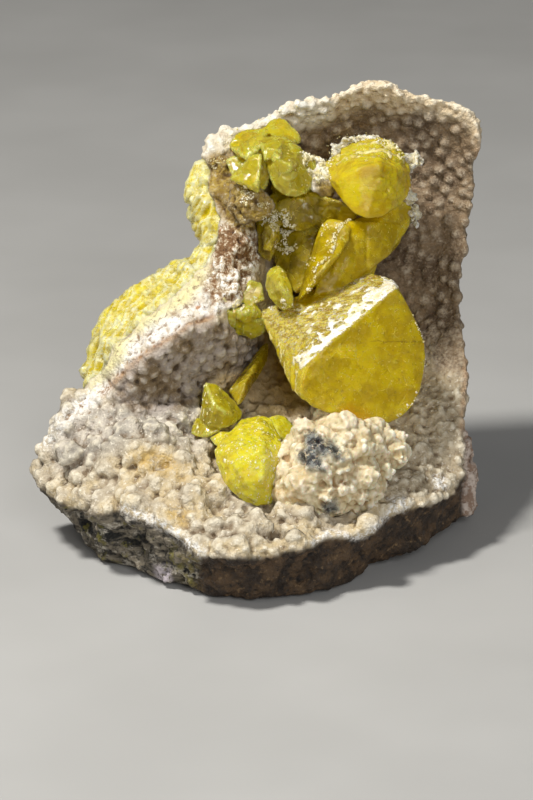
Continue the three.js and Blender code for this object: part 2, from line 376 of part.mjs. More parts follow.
let stone = blockBetween(() => -80, druse, DRUSE_CELLS)
  .intersect(blockBetween(() => -80, broken, BROKEN_CELLS))
  .intersect(blockBetween(hidden, () => 80, BACK_CELLS))
  .intersect(solid(prism))
  .add(hull(HOST_BLOCK))
  .add(hull(EDGE_FLAKE));

// Crystals in order of growth over each other: a later one stops short of every earlier one.
const pieces = new Map();
const grown = [];
for (const [name, bodies] of Object.entries(CRYSTALS)) {
  let s = join(bodies.map((b) => hull(b)));
  for (const g of grown) s = s.subtract(g);
  pieces.set(name, largest(s));
  grown.push(join(bodies.map((b) => hull(b, GAP))));
}
let knob = join(KNOB.map((b) => hull(b)));
for (const g of grown) knob = knob.subtract(g);
pieces.set("calcite_knob", largest(knob));
grown.push(join(KNOB.map((b) => hull(b, GAP))));
for (const g of grown) stone = stone.subtract(g);
pieces.set("matrix", stone);

// Stand the specimen up and trim its base flat.
const lean = THREE.MathUtils.degToRad(LEAN_DEG);
const upright = new THREE.Matrix4().set(
  1, 0, 0, 0,
  0, Math.sin(lean), -Math.cos(lean), 0,
  0, Math.cos(lean), Math.sin(lean), 0,
  0, 0, 0, 1,
);
function geometryOf(s) {
  const m = s.getMesh(),
    n = m.numProp,
    p = new Float32Array(m.numVert * 3);
  for (let i = 0; i < m.numVert; i++) p.set(m.vertProperties.subarray(i * n, i * n + 3), i * 3);
  return new THREE.BufferGeometry()
    .setAttribute("position", new THREE.BufferAttribute(p, 3))
    .setIndex(new THREE.BufferAttribute(new Uint32Array(m.triVerts), 1));
}
const under = solid(new THREE.BoxGeometry(200, 200, 60).translate(0, 0, BASE_Z - 30));
const stood = new Map();
const bounds = new THREE.Box3();
for (const [name, s] of pieces) {
  const g = geometryOf(s).applyMatrix4(upright);
  const cut = geometryOf(largest(solid(g).subtract(under)));
  cut.computeBoundingBox();
  bounds.union(cut.boundingBox);
  stood.set(name, cut);
}
const centre = bounds.getCenter(new THREE.Vector3());

const LOOKS = {
  matrix: STONE,
  calcite_knob: CALCITE,
  sulfur_left: SULFUR_PALE,
  sulfur_tip: SULFUR_PALE,
  sulfur_wing: SULFUR_PALE,
  sulfur_plate: SULFUR_DARK,
  sulfur_stick: SULFUR_DARK,
};

const specimen = new THREE.Group();
specimen.name = "sulfur_specimen";
for (const [name, geometry] of stood) {
  geometry.translate(-centre.x, -centre.y, -bounds.min.z);
  geometry.computeVertexNormals();
  const mesh = new THREE.Mesh(geometry, new THREE.MeshStandardMaterial(LOOKS[name] ?? SULFUR));
  mesh.name = name;
  specimen.add(mesh);
}

export default specimen;
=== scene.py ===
"""Native sulfur on druse-lined limestone: the looks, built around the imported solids.

Shapes are made in millimetres in the specimen's leaning frame (u right, v up the show side, w out of it), where the zones
of the stone are easy to state, and are turned into the row frame, in metres, when each piece is made.
"""

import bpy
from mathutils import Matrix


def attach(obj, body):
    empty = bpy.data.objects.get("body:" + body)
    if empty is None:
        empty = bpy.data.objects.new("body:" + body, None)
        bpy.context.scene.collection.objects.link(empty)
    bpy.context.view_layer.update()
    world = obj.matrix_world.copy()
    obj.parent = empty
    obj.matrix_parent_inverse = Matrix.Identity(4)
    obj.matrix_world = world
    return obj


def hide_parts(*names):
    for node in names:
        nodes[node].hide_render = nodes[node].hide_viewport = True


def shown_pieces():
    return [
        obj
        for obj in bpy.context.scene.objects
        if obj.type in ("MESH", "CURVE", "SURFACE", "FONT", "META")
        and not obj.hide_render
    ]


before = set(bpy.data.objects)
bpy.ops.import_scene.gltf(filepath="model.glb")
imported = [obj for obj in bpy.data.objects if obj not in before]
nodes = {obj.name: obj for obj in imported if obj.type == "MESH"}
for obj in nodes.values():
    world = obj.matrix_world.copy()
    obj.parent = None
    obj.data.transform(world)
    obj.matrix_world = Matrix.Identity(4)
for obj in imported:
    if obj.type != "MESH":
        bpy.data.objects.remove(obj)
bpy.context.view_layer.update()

import math

import bmesh
import bpy
import numpy as np
from mathutils import Vector
from mathutils.bvhtree import BVHTree

MM = 0.001
LEAN = math.radians(20.0)
# The row frame's origin, seen from the leaning frame's, along the row's axes.
SHIFT = np.array([-1.26414, -0.08762, -22.2])
BASE_Z = -22.2

scene = bpy.context.scene


# ---------------------------------------------------------------- frames
def to_lean(p):
    q = np.asarray(p, float) / MM + SHIFT
    s, c = math.sin(LEAN), math.cos(LEAN)
    return np.stack([q[:, 0], q[:, 1] * s + q[:, 2] * c, -q[:, 1] * c + q[:, 2] * s], 1)


def to_row(p):
    p = np.asarray(p, float)
    s, c = math.sin(LEAN), math.cos(LEAN)
    q = np.stack([p[:, 0], p[:, 1] * s - p[:, 2] * c, p[:, 1] * c + p[:, 2] * s], 1)
    return (q - SHIFT) * MM


def height(p):
    """Height above the flat base, in mm."""
    return p[:, 1] * math.cos(LEAN) + p[:, 2] * math.sin(LEAN) - BASE_Z


# ---------------------------------------------------------------- noise
def _hash(i, j, k, seed):
    h = (i * 73856093) ^ (j * 19349663) ^ (k * 83492791) ^ (seed * 2654435761)
    h &= 0xFFFFFFFF
    h = ((h ^ (h >> 15)) * 2246822519) & 0xFFFFFFFF
    h = ((h ^ (h >> 13)) * 3266489917) & 0xFFFFFFFF
    h ^= h >> 16
    return h.astype(np.float32) / np.float32(4294967295.0)


def vnoise(p, size, seed=0):
    """Smooth value noise in -1..1 with cells `size` mm across."""
    q = p / size
    b = np.floor(q).astype(np.int64)
    f = (q - b).astype(np.float32)
    f = f * f * f * (f * (f * 6 - 15) + 10)
    out = np.zeros(len(p), np.float32)
    for dx in (0, 1):
        wx = f[:, 0] if dx else 1 - f[:, 0]
        for dy in (0, 1):
            wy = f[:, 1] if dy else 1 - f[:, 1]
            for dz in (0, 1):
                wz = f[:, 2] if dz else 1 - f[:, 2]
                out += wx * wy * wz * _hash(b[:, 0] + dx, b[:, 1] + dy, b[:, 2] + dz, seed)
    return out * 2 - 1


def fbm(p, size, seed=0, octaves=3, fall=0.5):
    out, amp, total = 0.0, 1.0, 0.0
    for o in range(octaves):
        out = out + amp * vnoise(p + 17.3 * o, size / 2**o, seed + o * 101)
        total += amp
        amp *= fall
    return out / total


def worley(p, size, seed=0):
    """Distances in cells to the nearest and second nearest point, and a random value of the nearest cell."""
    q = p / size
    b = np.floor(q).astype(np.int64)
    f1 = np.full(len(p), 9.0, np.float32)
    f2 = np.full(len(p), 9.0, np.float32)
    who = np.zeros(len(p), np.float32)
    for dx in (-1, 0, 1):
        for dy in (-1, 0, 1):
            for dz in (-1, 0, 1):
                i, j, k = b[:, 0] + dx, b[:, 1] + dy, b[:, 2] + dz
                d = (
                    (i + _hash(i, j, k, seed) - q[:, 0]) ** 2
                    + (j + _hash(i, j, k, seed + 1) - q[:, 1]) ** 2
                    + (k + _hash(i, j, k, seed + 2) - q[:, 2]) ** 2
                ).astype(np.float32)
                nearer = d < f1
                f2 = np.where(nearer, f1, np.minimum(f2, d))
                who = np.where(nearer, _hash(i, j, k, seed + 3), who)
                f1 = np.where(nearer, d, f1)
    return np.sqrt(f1), np.sqrt(f2), who


def step(x, a, b):
    t = np.clip((x - a) / (b - a), 0, 1)
    return t * t * (3 - 2 * t)


def inside(p, polygon, soft=1.0):
    """1 well inside a polygon in (u, v), 0 well outside, smooth over `soft` mm either side."""
    x, y = p[:, 0], p[:, 1]
    poly = np.array(polygon, float)
    odd = np.zeros(len(p), bool)
    near = np.full(len(p), 1e9)
    for (x1, y1), (x2, y2) in zip(poly, np.roll(poly, -1, 0)):
        if y1 != y2:
            hit = ((y1 > y) != (y2 > y)) & (x < (x2 - x1) * (y - y1) / (y2 - y1) + x1)
            odd ^= hit
        ex, ey = x2 - x1, y2 - y1
        t = np.clip(((x - x1) * ex + (y - y1) * ey) / (ex * ex + ey * ey + 1e-12), 0, 1)
        near = np.minimum(near, (x - x1 - t * ex) ** 2 + (y - y1 - t * ey) ** 2)
    d = np.sqrt(near) * np.where(odd, 1, -1)
    return step(d, -soft, soft)


def along(p, line, width, soft=1.0):
    """1 within `width` mm of a polyline in (u, v)."""
    line = np.array(line, float)
    near = np.full(len(p), 1e9)
    for (x1, y1), (x2, y2) in zip(line[:-1], line[1:]):
        ex, ey = x2 - x1, y2 - y1
        t = np.clip(((p[:, 0] - x1) * ex + (p[:, 1] - y1) * ey) / (ex * ex + ey * ey), 0, 1)
        near = np.minimum(near, (p[:, 0] - x1 - t * ex) ** 2 + (p[:, 1] - y1 - t * ey) ** 2)
    return 1 - step(np.sqrt(near), width - soft, width + soft)


# ---------------------------------------------------------------- meshes
def cad_mesh(name):
    me = nodes[name].data
    co = np.empty(len(me.vertices) * 3)
    me.vertices.foreach_get("co", co)
    me.calc_loop_triangles()
    tri = np.empty(len(me.loop_triangles) * 3, np.int64)
    me.loop_triangles.foreach_get("vertices", tri)
    v = to_lean(co.reshape(-1, 3))
    key, back = np.unique(np.round(v, 4), axis=0, return_inverse=True)
    back = back.reshape(-1)
    f = back[tri.reshape(-1, 3)]
    f = f[(f[:, 0] != f[:, 1]) & (f[:, 1] != f[:, 2]) & (f[:, 0] != f[:, 2])]
    return key, f


def bpy_mesh(name, v, f):
    me = bpy.data.meshes.new(name)
    n = f.shape[1]
    me.vertices.add(len(v))
    me.vertices.foreach_set("co", np.ascontiguousarray(v, np.float32).ravel())
    me.loops.add(len(f) * n)
    me.loops.foreach_set("vertex_index", np.ascontiguousarray(f, np.int32).ravel())
    me.polygons.add(len(f))
    me.polygons.foreach_set("loop_start", np.arange(0, len(f) * n, n, dtype=np.int32))
    me.update(calc_edges=True)
    me.validate()
    return me


def join(parts):
    vs, fs, base = [], [], 0
    for v, f in parts:
        vs.append(v)
        fs.append(f + base)
        base += len(v)
    return np.concatenate(vs), np.concatenate(fs)


def remesh(v, f, voxel):
    """The skin of the union of everything in the mesh, as quads."""
    me = bpy_mesh("tmp", v, f)
    ob = bpy.data.objects.new("tmp", me)
    scene.collection.objects.link(ob)
    mod = ob.modifiers.new("skin", "REMESH")
    mod.mode = "VOXEL"
    mod.voxel_size = voxel
    mod.adaptivity = 0.0
    made = bpy.data.meshes.new_from_object(ob.evaluated_get(bpy.context.evaluated_depsgraph_get()))
    co = np.empty(len(made.vertices) * 3, np.float32)
    made.vertices.foreach_get("co", co)
    quads = np.empty(len(made.loops), np.int32)
    made.loops.foreach_get("vertex_index", quads)
    bpy.data.objects.remove(ob)
    bpy.data.meshes.remove(me)
    bpy.data.meshes.remove(made)
    return co.reshape(-1, 3).astype(float), quads.reshape(-1, 4).astype(np.int64)


def normals(v, f):
    a = v[f[:, 0]]
    n = np.zeros_like(v)
    for k in range(1, f.shape[1] - 1):
        c = np.cross(v[f[:, k]] - a, v[f[:, k + 1]] - a)
        for j in (0, k, k + 1):
            for axis in range(3):
                n[:, axis] += np.bincount(f[:, j], c[:, axis], len(v))
    return n / np.maximum(np.linalg.norm(n, axis=1, keepdims=True), 1e-12)


class Spread:
    """Averages values over each vertex's neighbours."""

    def __init__(self, f, count):
        m = f.shape[1]
        e = np.concatenate([np.stack([f[:, i], f[:, (i + 1) % m]], 1) for i in range(m)])
        e.sort(axis=1)
        self.e = np.unique(e[:, 0] * np.int64(count) + e[:, 1])
        self.e = np.stack([self.e // count, self.e % count], 1)
        self.n = count
        self.deg = np.maximum(np.bincount(self.e.ravel(), minlength=count), 1)

    def once(self, x):
        a, b = self.e[:, 0], self.e[:, 1]
        if x.ndim == 1:
            return (np.bincount(a, x[b], self.n) + np.bincount(b, x[a], self.n)) / self.deg
        return np.stack([self.once(x[:, k]) for k in range(x.shape[1])], 1)

    def blur(self, x, times):
        for _ in range(times):
            x = 0.4 * x + 0.6 * self.once(x)
        return x

    def smooth(self, v, times, share=None):
        """Rounds the shape without shrinking it."""
        for _ in range(times):
            for k in (0.5, -0.52):
                d = self.once(v) - v
                v = v + k * d * (1 if share is None else share[:, None])
        return v

    def melt(self, v, times, share=None):
        """Rounds the shape and lets it shrink a little."""
        for _ in range(times):
            d = self.once(v) - v
            v = v + 0.6 * d * (1 if share is None else share[:, None])
        return v


def ico(level):
    bm = bmesh.new()
    bmesh.ops.create_icosphere(bm, subdivisions=level, radius=1.0)
    bm.verts.ensure_lookup_table()
    v = np.array([x.co[:] for x in bm.verts])
    f = np.array([[x.index for x in t.verts] for t in bm.faces])
    bm.free()
    return v, f


ICO = {k: ico(k) for k in (1, 2, 3)}


def balls(centres, radii, level=2, rng=None, rough=0.0, squash=None, axes=None):
    """Many small closed lumps as one mesh."""
    v0, f0 = ICO[level]
    c, r = np.asarray(centres, float), np.asarray(radii, float)
    v = np.broadcast_to(v0, (len(c), *v0.shape)).copy()
    if rough and rng is not None:
        v *= 1 + rough * rng.uniform(-1, 1, (len(c), len(v0), 1))
    if rng is not None and squash is not None:
        v *= rng.uniform(*squash, (len(c), 1, 3))
        q = rng.normal(size=(len(c), 4))
        q /= np.linalg.norm(q, axis=1, keepdims=True)
        w, x, y, z = q.T
        m = np.stack(
            [
                np.stack([1 - 2 * (y * y + z * z), 2 * (x * y - z * w), 2 * (x * z + y * w)], 1),
                np.stack([2 * (x * y + z * w), 1 - 2 * (x * x + z * z), 2 * (y * z - x * w)], 1),
                np.stack([2 * (x * z - y * w), 2 * (y * z + x * w), 1 - 2 * (x * x + y * y)], 1),
            ],
            1,
        )
        v = np.einsum("nij,nkj->nki", m, v)
    v = c[:, None, :] + r[:, None, None] * v
    f = f0[None] + (np.arange(len(c)) * len(v0))[:, None, None]
    return v.reshape(-1, 3), f.reshape(-1, 3)


def thin_out(points, radii, spacing):
    """Keeps each point that no earlier kept one crowds."""
    cell = 2 * float(max(radii)) * spacing + 1e-9
    grid, keep = {}, []
    pts, rad = points.tolist(), radii.tolist()
    for n, ((x, y, z), r) in enumerate(zip(pts, rad)):
        i, j, k = int(x // cell), int(y // cell), int(z // cell)
        ok = True
        for a in (i - 1, i, i + 1):
            for b in (j - 1, j, j + 1):
                for c in (k - 1, k, k + 1):
                    for m in grid.get((a, b, c), ()):
                        p = pts[m]
                        lim = spacing * (r + rad[m])
                        if (p[0] - x) ** 2 + (p[1] - y) ** 2 + (p[2] - z) ** 2 < lim * lim:
                            ok = False
                            break
                    if not ok:
                        break
                if not ok:
                    break
            if not ok:
                break
        if ok:
            grid.setdefault((i, j, k), []).append(n)
            keep.append(n)
    return np.array(keep, int)


def cast(tree, uv, start=70.0):
    """First hit looking at the show side, for each (u, v): points, normals and which hit."""
    pts, nrm, hit = np.zeros((len(uv), 3)), np.zeros((len(uv), 3)), np.zeros(len(uv), bool)
    down = Vector((0, 0, -1))
    for n, (u, v) in enumerate(uv.tolist()):
        p, q, _, _ = tree.ray_cast(Vector((u, v, start)), down, 200.0)
        if p is not None:
            pts[n], nrm[n], hit[n] = p, q, True
    return pts, nrm, hit


def tree_of(v, f):
    return BVHTree.FromPolygons(v.tolist(), f.tolist(), all_triangles=f.shape[1] == 3)


def piece(name, v, f, material, replaces=(), attributes=None, smooth=True):
    me = bpy_mesh(name, to_row(v), f)
    if smooth:
        me.polygons.foreach_set("use_smooth", np.ones(len(me.polygons), bool))
    for key, values in (attributes or {}).items():
        a = me.attributes.new(key, "FLOAT", "POINT")
        a.data.foreach_set("value", np.ascontiguousarray(values, np.float32))
    me.materials.append(material)
    me.update()
    ob = bpy.data.objects.new(name, me)
    scene.collection.objects.link(ob)
    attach(ob, "root")
    if replaces:
        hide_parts(*replaces)
    return ob


# the crystals as they are packed: druse lumps keep off them
CRYSTAL_TREE = tree_of(*join([cad_mesh(k) for k in sorted(nodes) if k not in ("matrix", "calcite_knob")]))
FRONT_POINT = Vector((0.0, 0.0, 700.0))
AROUND = [(0.0, 0.0)] + [(0.8 * math.cos(a * math.pi / 3), 0.8 * math.sin(a * math.pi / 3)) for a in range(6)]


def clear_of_crystals(c, r, reach=8.0, rays=AROUND):
    """Which lumps do not stand in front of a crystal or reach into one."""
    ok = np.ones(len(c), bool)
    for n, (p, q) in enumerate(zip(c.tolist(), r.tolist())):
        for du, dv in rays:
            at = Vector((p[0] + du * q, p[1] + dv * q, p[2]))
            ray = (at - FRONT_POINT).normalized()
            if CRYSTAL_TREE.ray_cast(at - ray * q, ray, reach + q)[0] is not None:
                ok[n] = False
                break
    return ok


def closed_hull(points):
    """The convex body through these corners."""
    bm = bmesh.new()
    for p in points:
        bm.verts.new(p)
    out = bmesh.ops.convex_hull(bm, input=bm.verts)
    inner = [x for x in out["geom_interior"] if isinstance(x, bmesh.types.BMVert)]
    bmesh.ops.delete(bm, geom=inner, context="VERTS")
    bmesh.ops.triangulate(bm, faces=bm.faces)
    bm.verts.index_update()
    v = np.array([x.co[:] for x in bm.verts])
    f = np.array([[x.index for x in t.verts] for t in bm.faces])
    bm.free()
    return v, f


# ---------------------------------------------------------------- zones of the stone, in (u, v)
RIM_LINE = [(-36.2, -12.6), (-32.9, -15.0), (-29.7, -16.4), (-24.4, -17.2), (-22.2, -16.4), (-16.8, -18.8), (-12.6, -20.9), (-10.0, -23.3), (-5.3, -23.4), (-0.9, -23.3), (6.1, -22.0), (8.8, -20.6), (15.1, -20.6), (17.3, -18.3), (20.5, -16.6), (24.7, -16.1), (28.4, -14.6), (30.2, -11.3)]
RIDGE_TOP = [(-29.4, -0.8), (-25.8, 3.6), (-24.0, 6.0), (-23.0, 8.7), (-20.2, 11.3), (-17.9, 13.0), (-14.5, 14.9), (-12.5, 17.2), (-10.9, 18.9), (-8.6, 21.4), (-6.9, 23.3), (-4.1, 21.4), (-2.6, 17.8), (-2.9, 14.7), (-6.4, 14.0), (-8.4, 12.4), (-11.7, 11.0), (-15.4, 8.5), (-19.8, 5.4), (-23.8, 1.6), (-27.4, -1.9), (-32.0, -3.9)]
RIDGE_INNER = [(-24.3, 0.3), (-21.6, 4.2), (-19.5, 5.9), (-15.4, 8.5), (-11.7, 11.0), (-8.4, 12.2), (-4.9, 11.6), (-0.7, 9.6), (-1.6, 5.3), (-6.9, 4.0), (-9.5, 2.3), (-10.3, -0.3), (-14.2, -1.9), (-19.6, -2.2)]
ROCK_MID = [(-10.5, 25.6), (-8.4, 27.0), (-5.7, 27.6), (-2.6, 27.0), (-0.7, 24.8), (-0.7, 21.4), (-2.2, 18.6), (-3.2, 15.5), (-5.3, 14.6), (-8.4, 14.9), (-10.0, 17.8), (-8.4, 21.4), (-9.5, 23.3)]
ROCK_BLOCK = [(-9.8, 37.5), (-6.9, 38.8), (-4.7, 37.2), (-4.1, 34.4), (-0.7, 33.2), (1.3, 31.3), (0.9, 27.6), (-1.3, 26.0), (-4.1, 26.0), (-6.3, 27.9), (-8.0, 30.2), (-9.5, 33.3)]
RIM_TOP = [(-9.2, 40.0), (-6.4, 42.2), (-1.3, 43.1), (2.4, 44.8), (4.0, 46.0), (7.7, 46.4), (11.4, 47.8), (14.3, 49.0), (18.4, 49.3), (21.0, 47.8), (24.7, 47.0), (30.2, 46.0), (32.8, 43.4), (33.3, 38.8)]
WALL = [(-0.7, 41.9), (5.2, 43.7), (9.8, 44.7), (16.8, 46.8), (20.7, 45.3), (26.9, 44.7), (31.2, 44.0), (33.3, 40.3), (33.7, 34.1), (32.9, 23.3), (32.2, 12.4), (31.2, 3.7), (26.3, 4.3), (25.0, 10.9), (21.3, 20.2), (22.9, 28.7), (24.6, 37.2), (19.9, 41.9), (11.4, 42.2), (6.7, 38.8), (5.2, 41.1)]
WALL_BEHIND = [(-0.4, 42.2), (5.2, 43.1), (12.2, 43.1), (20.7, 42.2), (25.7, 38.8), (26.0, 10.5), (23.8, 8.5), (5.2, 10.1), (0.2, 15.5), (0.2, 26.0), (1.8, 29.5), (1.5, 31.6), (-0.7, 34.1)]
WALL_LOW = [(24.4, 10.9), (30.3, 10.9), (30.6, 3.1), (30.0, -4.7), (25.3, -7.8), (21.5, -3.9), (24.6, 1.6)]
TOP_LEFT_WHITE = [(-9.8, 40.3), (-6.3, 43.1), (-0.7, 44.7), (5.2, 46.8), (10.6, 46.8), (9.8, 43.7), (5.2, 42.5), (1.8, 43.4), (-0.7, 42.2), (-4.7, 41.2), (-6.3, 38.8), (-8.4, 36.4), (-10.3, 36.4)]
RIDGE_LIP = [(-25.2, 1.2), (-23.5, 2.5), (-21.6, 4.3), (-19.8, 6.0), (-17.3, 7.8), (-15.4, 9.0), (-13.4, 10.1), (-11.7, 11.5), (-9.7, 12.2), (-8.4, 12.7)]
GREY_LEFT = [(-34.3, -6.2), (-30.5, -0.8), (-22.7, 0.0), (-9.5, 1.2), (-8.0, -6.2), (-10.3, -8.5), (-13.4, -6.2), (-19.6, -5.6), (-24.3, -7.8), (-28.9, -10.9), (-32.8, -11.6)]
GREY_RIGHT = [(18.4, -3.1), (31.6, 6.2), (31.6, -12.4), (26.9, -15.5), (20.7, -16.3), (18.2, -14.0), (20.7, -9.3)]
FLOOR_LEFT = [(-35.1, -10.9), (-33.6, -5.6), (-30.5, -2.8), (-24.3, -1.6), (-18.1, -2.8), (-10.9, -0.8), (-10.3, -4.7), (-10.9, -7.8), (-9.5, -10.9), (-10.9, -15.5), (-15.0, -17.8), (-22.7, -16.3), (-28.9, -15.5), (-34.3, -14.0)]
FLOOR_CLOUD = [(-25.8, -16.3), (-26.4, -10.9), (-21.2, -7.3), (-11.9, -8.5), (-8.0, -12.4), (-4.1, -16.7), (6.0, -16.7), (6.0, -21.1), (-2.6, -22.5), (-9.5, -22.5), (-15.0, -18.6), (-21.2, -16.3)]
CRUST_LINE = [(-27.1, 3.1), (-25.2, 5.0), (-23.6, 6.8), (-22.9, 9.3), (-21.2, 11.3), (-18.1, 13.2), (-15.7, 14.7), (-13.4, 15.8), (-11.9, 17.5), (-10.3, 19.4), (-8.4, 21.1), (-7.5, 23.6)]
SNOW_1 = [(-21.5, -16.3), (-18.1, -17.7), (-14.7, -19.2), (-11.9, -21.1), (-9.7, -22.8)]
SNOW_2 = [(7.1, -21.4), (9.2, -20.0), (11.4, -20.2), (13.3, -20.8), (15.1, -20.3), (17.3, -18.6), (19.1, -16.7), (21.0, -15.5)]
SNOW_3 = [(25.3, -11.8), (26.9, -11.2), (28.0, -12.4), (27.5, -14.0), (25.8, -13.6)]
SNOW_4 = [(18.5, -15.0), (20.4, -14.6), (22.1, -15.5), (21.3, -17.1), (18.8, -16.7)]
SNOW_5 = [(-34.2, -6.5), (-32.3, -3.7), (-29.8, -1.6), (-27.4, 0.6), (-25.2, 1.6)]
MOSSY = [(-12.5, -22.5), (-10.0, -22.9), (-8.4, -24.8), (-9.1, -29.5), (-11.6, -30.5), (-13.1, -27.1)]
LILAC = [(-17.1, -25.1), (-14.7, -25.1), (-14.3, -28.5), (-16.8, -28.8)]
VUG_DARK = [(-9.5, 2.3), (-6.9, 4.3), (-1.6, 5.3), (-0.7, 9.6), (2.9, 6.2), (5.2, 0.8), (6.7, -1.2), (5.2, -3.9), (2.9, -2.3), (-0.7, -1.9), (-4.1, 0.0), (-6.4, 0.8)]
LEFT_SLAB = [(-31.1, -6.2), (-29.2, -1.9), (-24.0, 1.2), (-18.1, 1.6), (-17.1, -0.3), (-21.5, -2.2), (-25.2, -5.6), (-28.0, -7.8), (-29.8, -8.7)]
RIM_RIGHT = [(33.4, 38.8), (33.1, 32.6), (32.5, 23.3), (31.7, 12.4), (31.1, 3.1), (30.3, -4.7)]
FLAP = [(30.5, -4.3), (33.1, -5.6), (34.0, -19.2), (30.9, -18.9), (30.6, -15.5), (30.9, -10.9)]
BROWN = [(-10.0, 25.7), (-6.3, 26.7), (-3.2, 25.4), (-2.2, 22.3), (-4.7, 20.5), (-8.1, 21.4), (-9.7, 23.6)]
FLOOR_ZONE = [(-35.1, -12.4), (-33.6, -5.9), (-28.9, -2.8), (-10.3, 0.0), (-6.9, 1.9), (5.2, 0.0), (19.5, -3.9), (26.9, -1.6), (30.3, -4.7), (29.7, -13.6), (23.8, -15.2), (14.8, -19.8), (5.2, -21.4), (-9.5, -22.2), (-22.7, -16.0)]
ORANGE_1 = [(-20.7, -8.1), (-18.1, -7.1), (-14.2, -8.1), (-11.9, -10.1), (-12.6, -12.1), (-15.7, -11.8), (-19.6, -10.9)]
ORANGE_2 = [(-15.6, -16.4), (-13.4, -15.5), (-11.6, -16.7), (-11.9, -18.9), (-14.7, -19.2)]
FLANK = [(-36.7, -12.4), (-32.9, -15.0), (-29.7, -16.4), (-24.4, -17.2), (-22.2, -16.4), (-16.8, -18.8), (-12.6, -20.9), (-10.3, -23.1), (-10.3, -31.0), (-21.2, -29.5), (-32.0, -21.7)]
PLINTH = [(-36.7, -12.4), (-32.0, -15.5), (-24.3, -17.5), (-16.8, -19.1), (-10.3, -23.4), (-1.0, -23.6), (6.1, -22.3), (8.8, -21.1), (15.1, -21.1), (17.6, -18.6), (20.7, -17.1), (24.7, -16.6), (28.4, -15.2), (30.5, -11.8), (33.9, -18.6), (26.9, -24.8), (5.2, -32.6), (-13.4, -31.0), (-32.0, -21.7)]

rng = np.random.default_rng(7)


def height_over_rim(p):
    """How far (u, v) lies above the front rim of the floor, in mm."""
    line = np.array(RIM_LINE)
    return p[:, 1] - np.interp(p[:, 0], line[:, 0], line[:, 1])


# ---------------------------------------------------------------- the stone
V_CAD, F_CAD = cad_mesh("matrix")
VOX = 0.30


def carve(p, centre, radius, depth):
    d = np.linalg.norm((p - np.array(centre)) / np.array(radius), axis=1)
    return depth * (1 - step(d, 0.0, 1.0))


def rough_stone():
    """The bare block: broken faces chipped and pitted, base left flat."""
    v, f = remesh(V_CAD, F_CAD, 0.55)
    n = normals(v, f)
    spread = Spread(f, len(v))
    front = ((n[:, 2] > 0.12) & (height_over_rim(v) > 0)).astype(float)
    show = spread.blur(front, 4)
    stay = step(height(v), 0.15, 1.2)
    broken = (1 - show) * stay
    side = spread.blur((inside(v, FLANK, 1.5) > 0.5) * (n[:, 2] > 0.1) * 1.0, 3)
    # angular chips: each cell of the stone stands at its own depth, split along its edges
    warp = v + 1.2 * np.stack([vnoise(v, 3.5, 15), vnoise(v, 3.5, 16), vnoise(v, 3.5, 17)], 1)
    c1, c2, who = worley(warp * [1, 1.25, 1], 6.5, 3)
    d = 1.5 * (who - 0.5) * step(c2 - c1, 0.0, 0.18)
    c1, c2, who = worley(warp * [1.3, 1, 1], 3.0, 11)
    d += 0.9 * (who - 0.5) * step(c2 - c1, 0.0, 0.22)
    c1, c2, who = worley(v * [0.8, 1.3, 1], 1.5, 13)
    d += 0.35 * (who - 0.5) * step(c2 - c1, 0.0, 0.3)
    d += 0.6 * fbm(v, 4.0, 5, 3)
    d -= 0.45 * np.abs(fbm(v * [1, 2.0, 1], 2.6, 9, 2))
    moved = d * broken * (0.8 + 0.35 * side)
    moved -= carve(v, (-22.9, -25.3, 8.0), (3.2, 1.7, 6.0), 3.2) * broken
    moved -= carve(v, (-28.0, -19.5, 5.0), (3.0, 1.4, 6.0), 1.6) * broken
    moved -= carve(v, (-12.8, -27.5, 14.0), (2.0, 2.6, 6.0), 1.8) * broken
    moved -= carve(v, (-17.5, -22.0, 12.0), (2.4, 1.6, 6.0), 1.4) * broken
    moved += side * broken * (0.9 * fbm(v * [0.6, 1.5, 1], 2.4, 21, 3) - 0.5 * np.abs(fbm(v * [1.8, 0.6, 1], 1.8, 23, 2)))
    # the druse side undulates gently; mid rock and block are ragged
    ragged = np.clip(inside(v, ROCK_MID, 1.0) + inside(v, ROCK_BLOCK, 1.0), 0, 1) * show
    moved += show * 0.35 * fbm(v, 5.0, 31, 2)
    # broad mounds under the floor's druse, and low ones up the ridge
    sway = v + 1.4 * np.stack([vnoise(v, 3.0, 25), vnoise(v, 3.0, 26), vnoise(v, 3.0, 27)], 1)
    c1, c2, who = worley(sway, 5.2, 28)
    mound = step(c1, 0.75, 0.05) * (0.6 + 0.8 * who)
    moved += show * inside(v, FLOOR_ZONE, 1.5) * (1.9 - 1.1 * step(v[:, 0], 15.0, 21.0)) * (mound - 0.45)
    moved += ragged * (0.75 * fbm(v, 2.2, 41, 3) - 0.5 * np.abs(fbm(v, 1.4, 43, 2)))
    v = v + n * moved[:, None]
    low = height(v) < 0
    v[low] += (-height(v)[low])[:, None] * np.array([0, math.cos(LEAN), math.sin(LEAN)])
    return v, f


V_BARE, F_BARE = rough_stone()
BARE = tree_of(V_BARE, F_BARE)


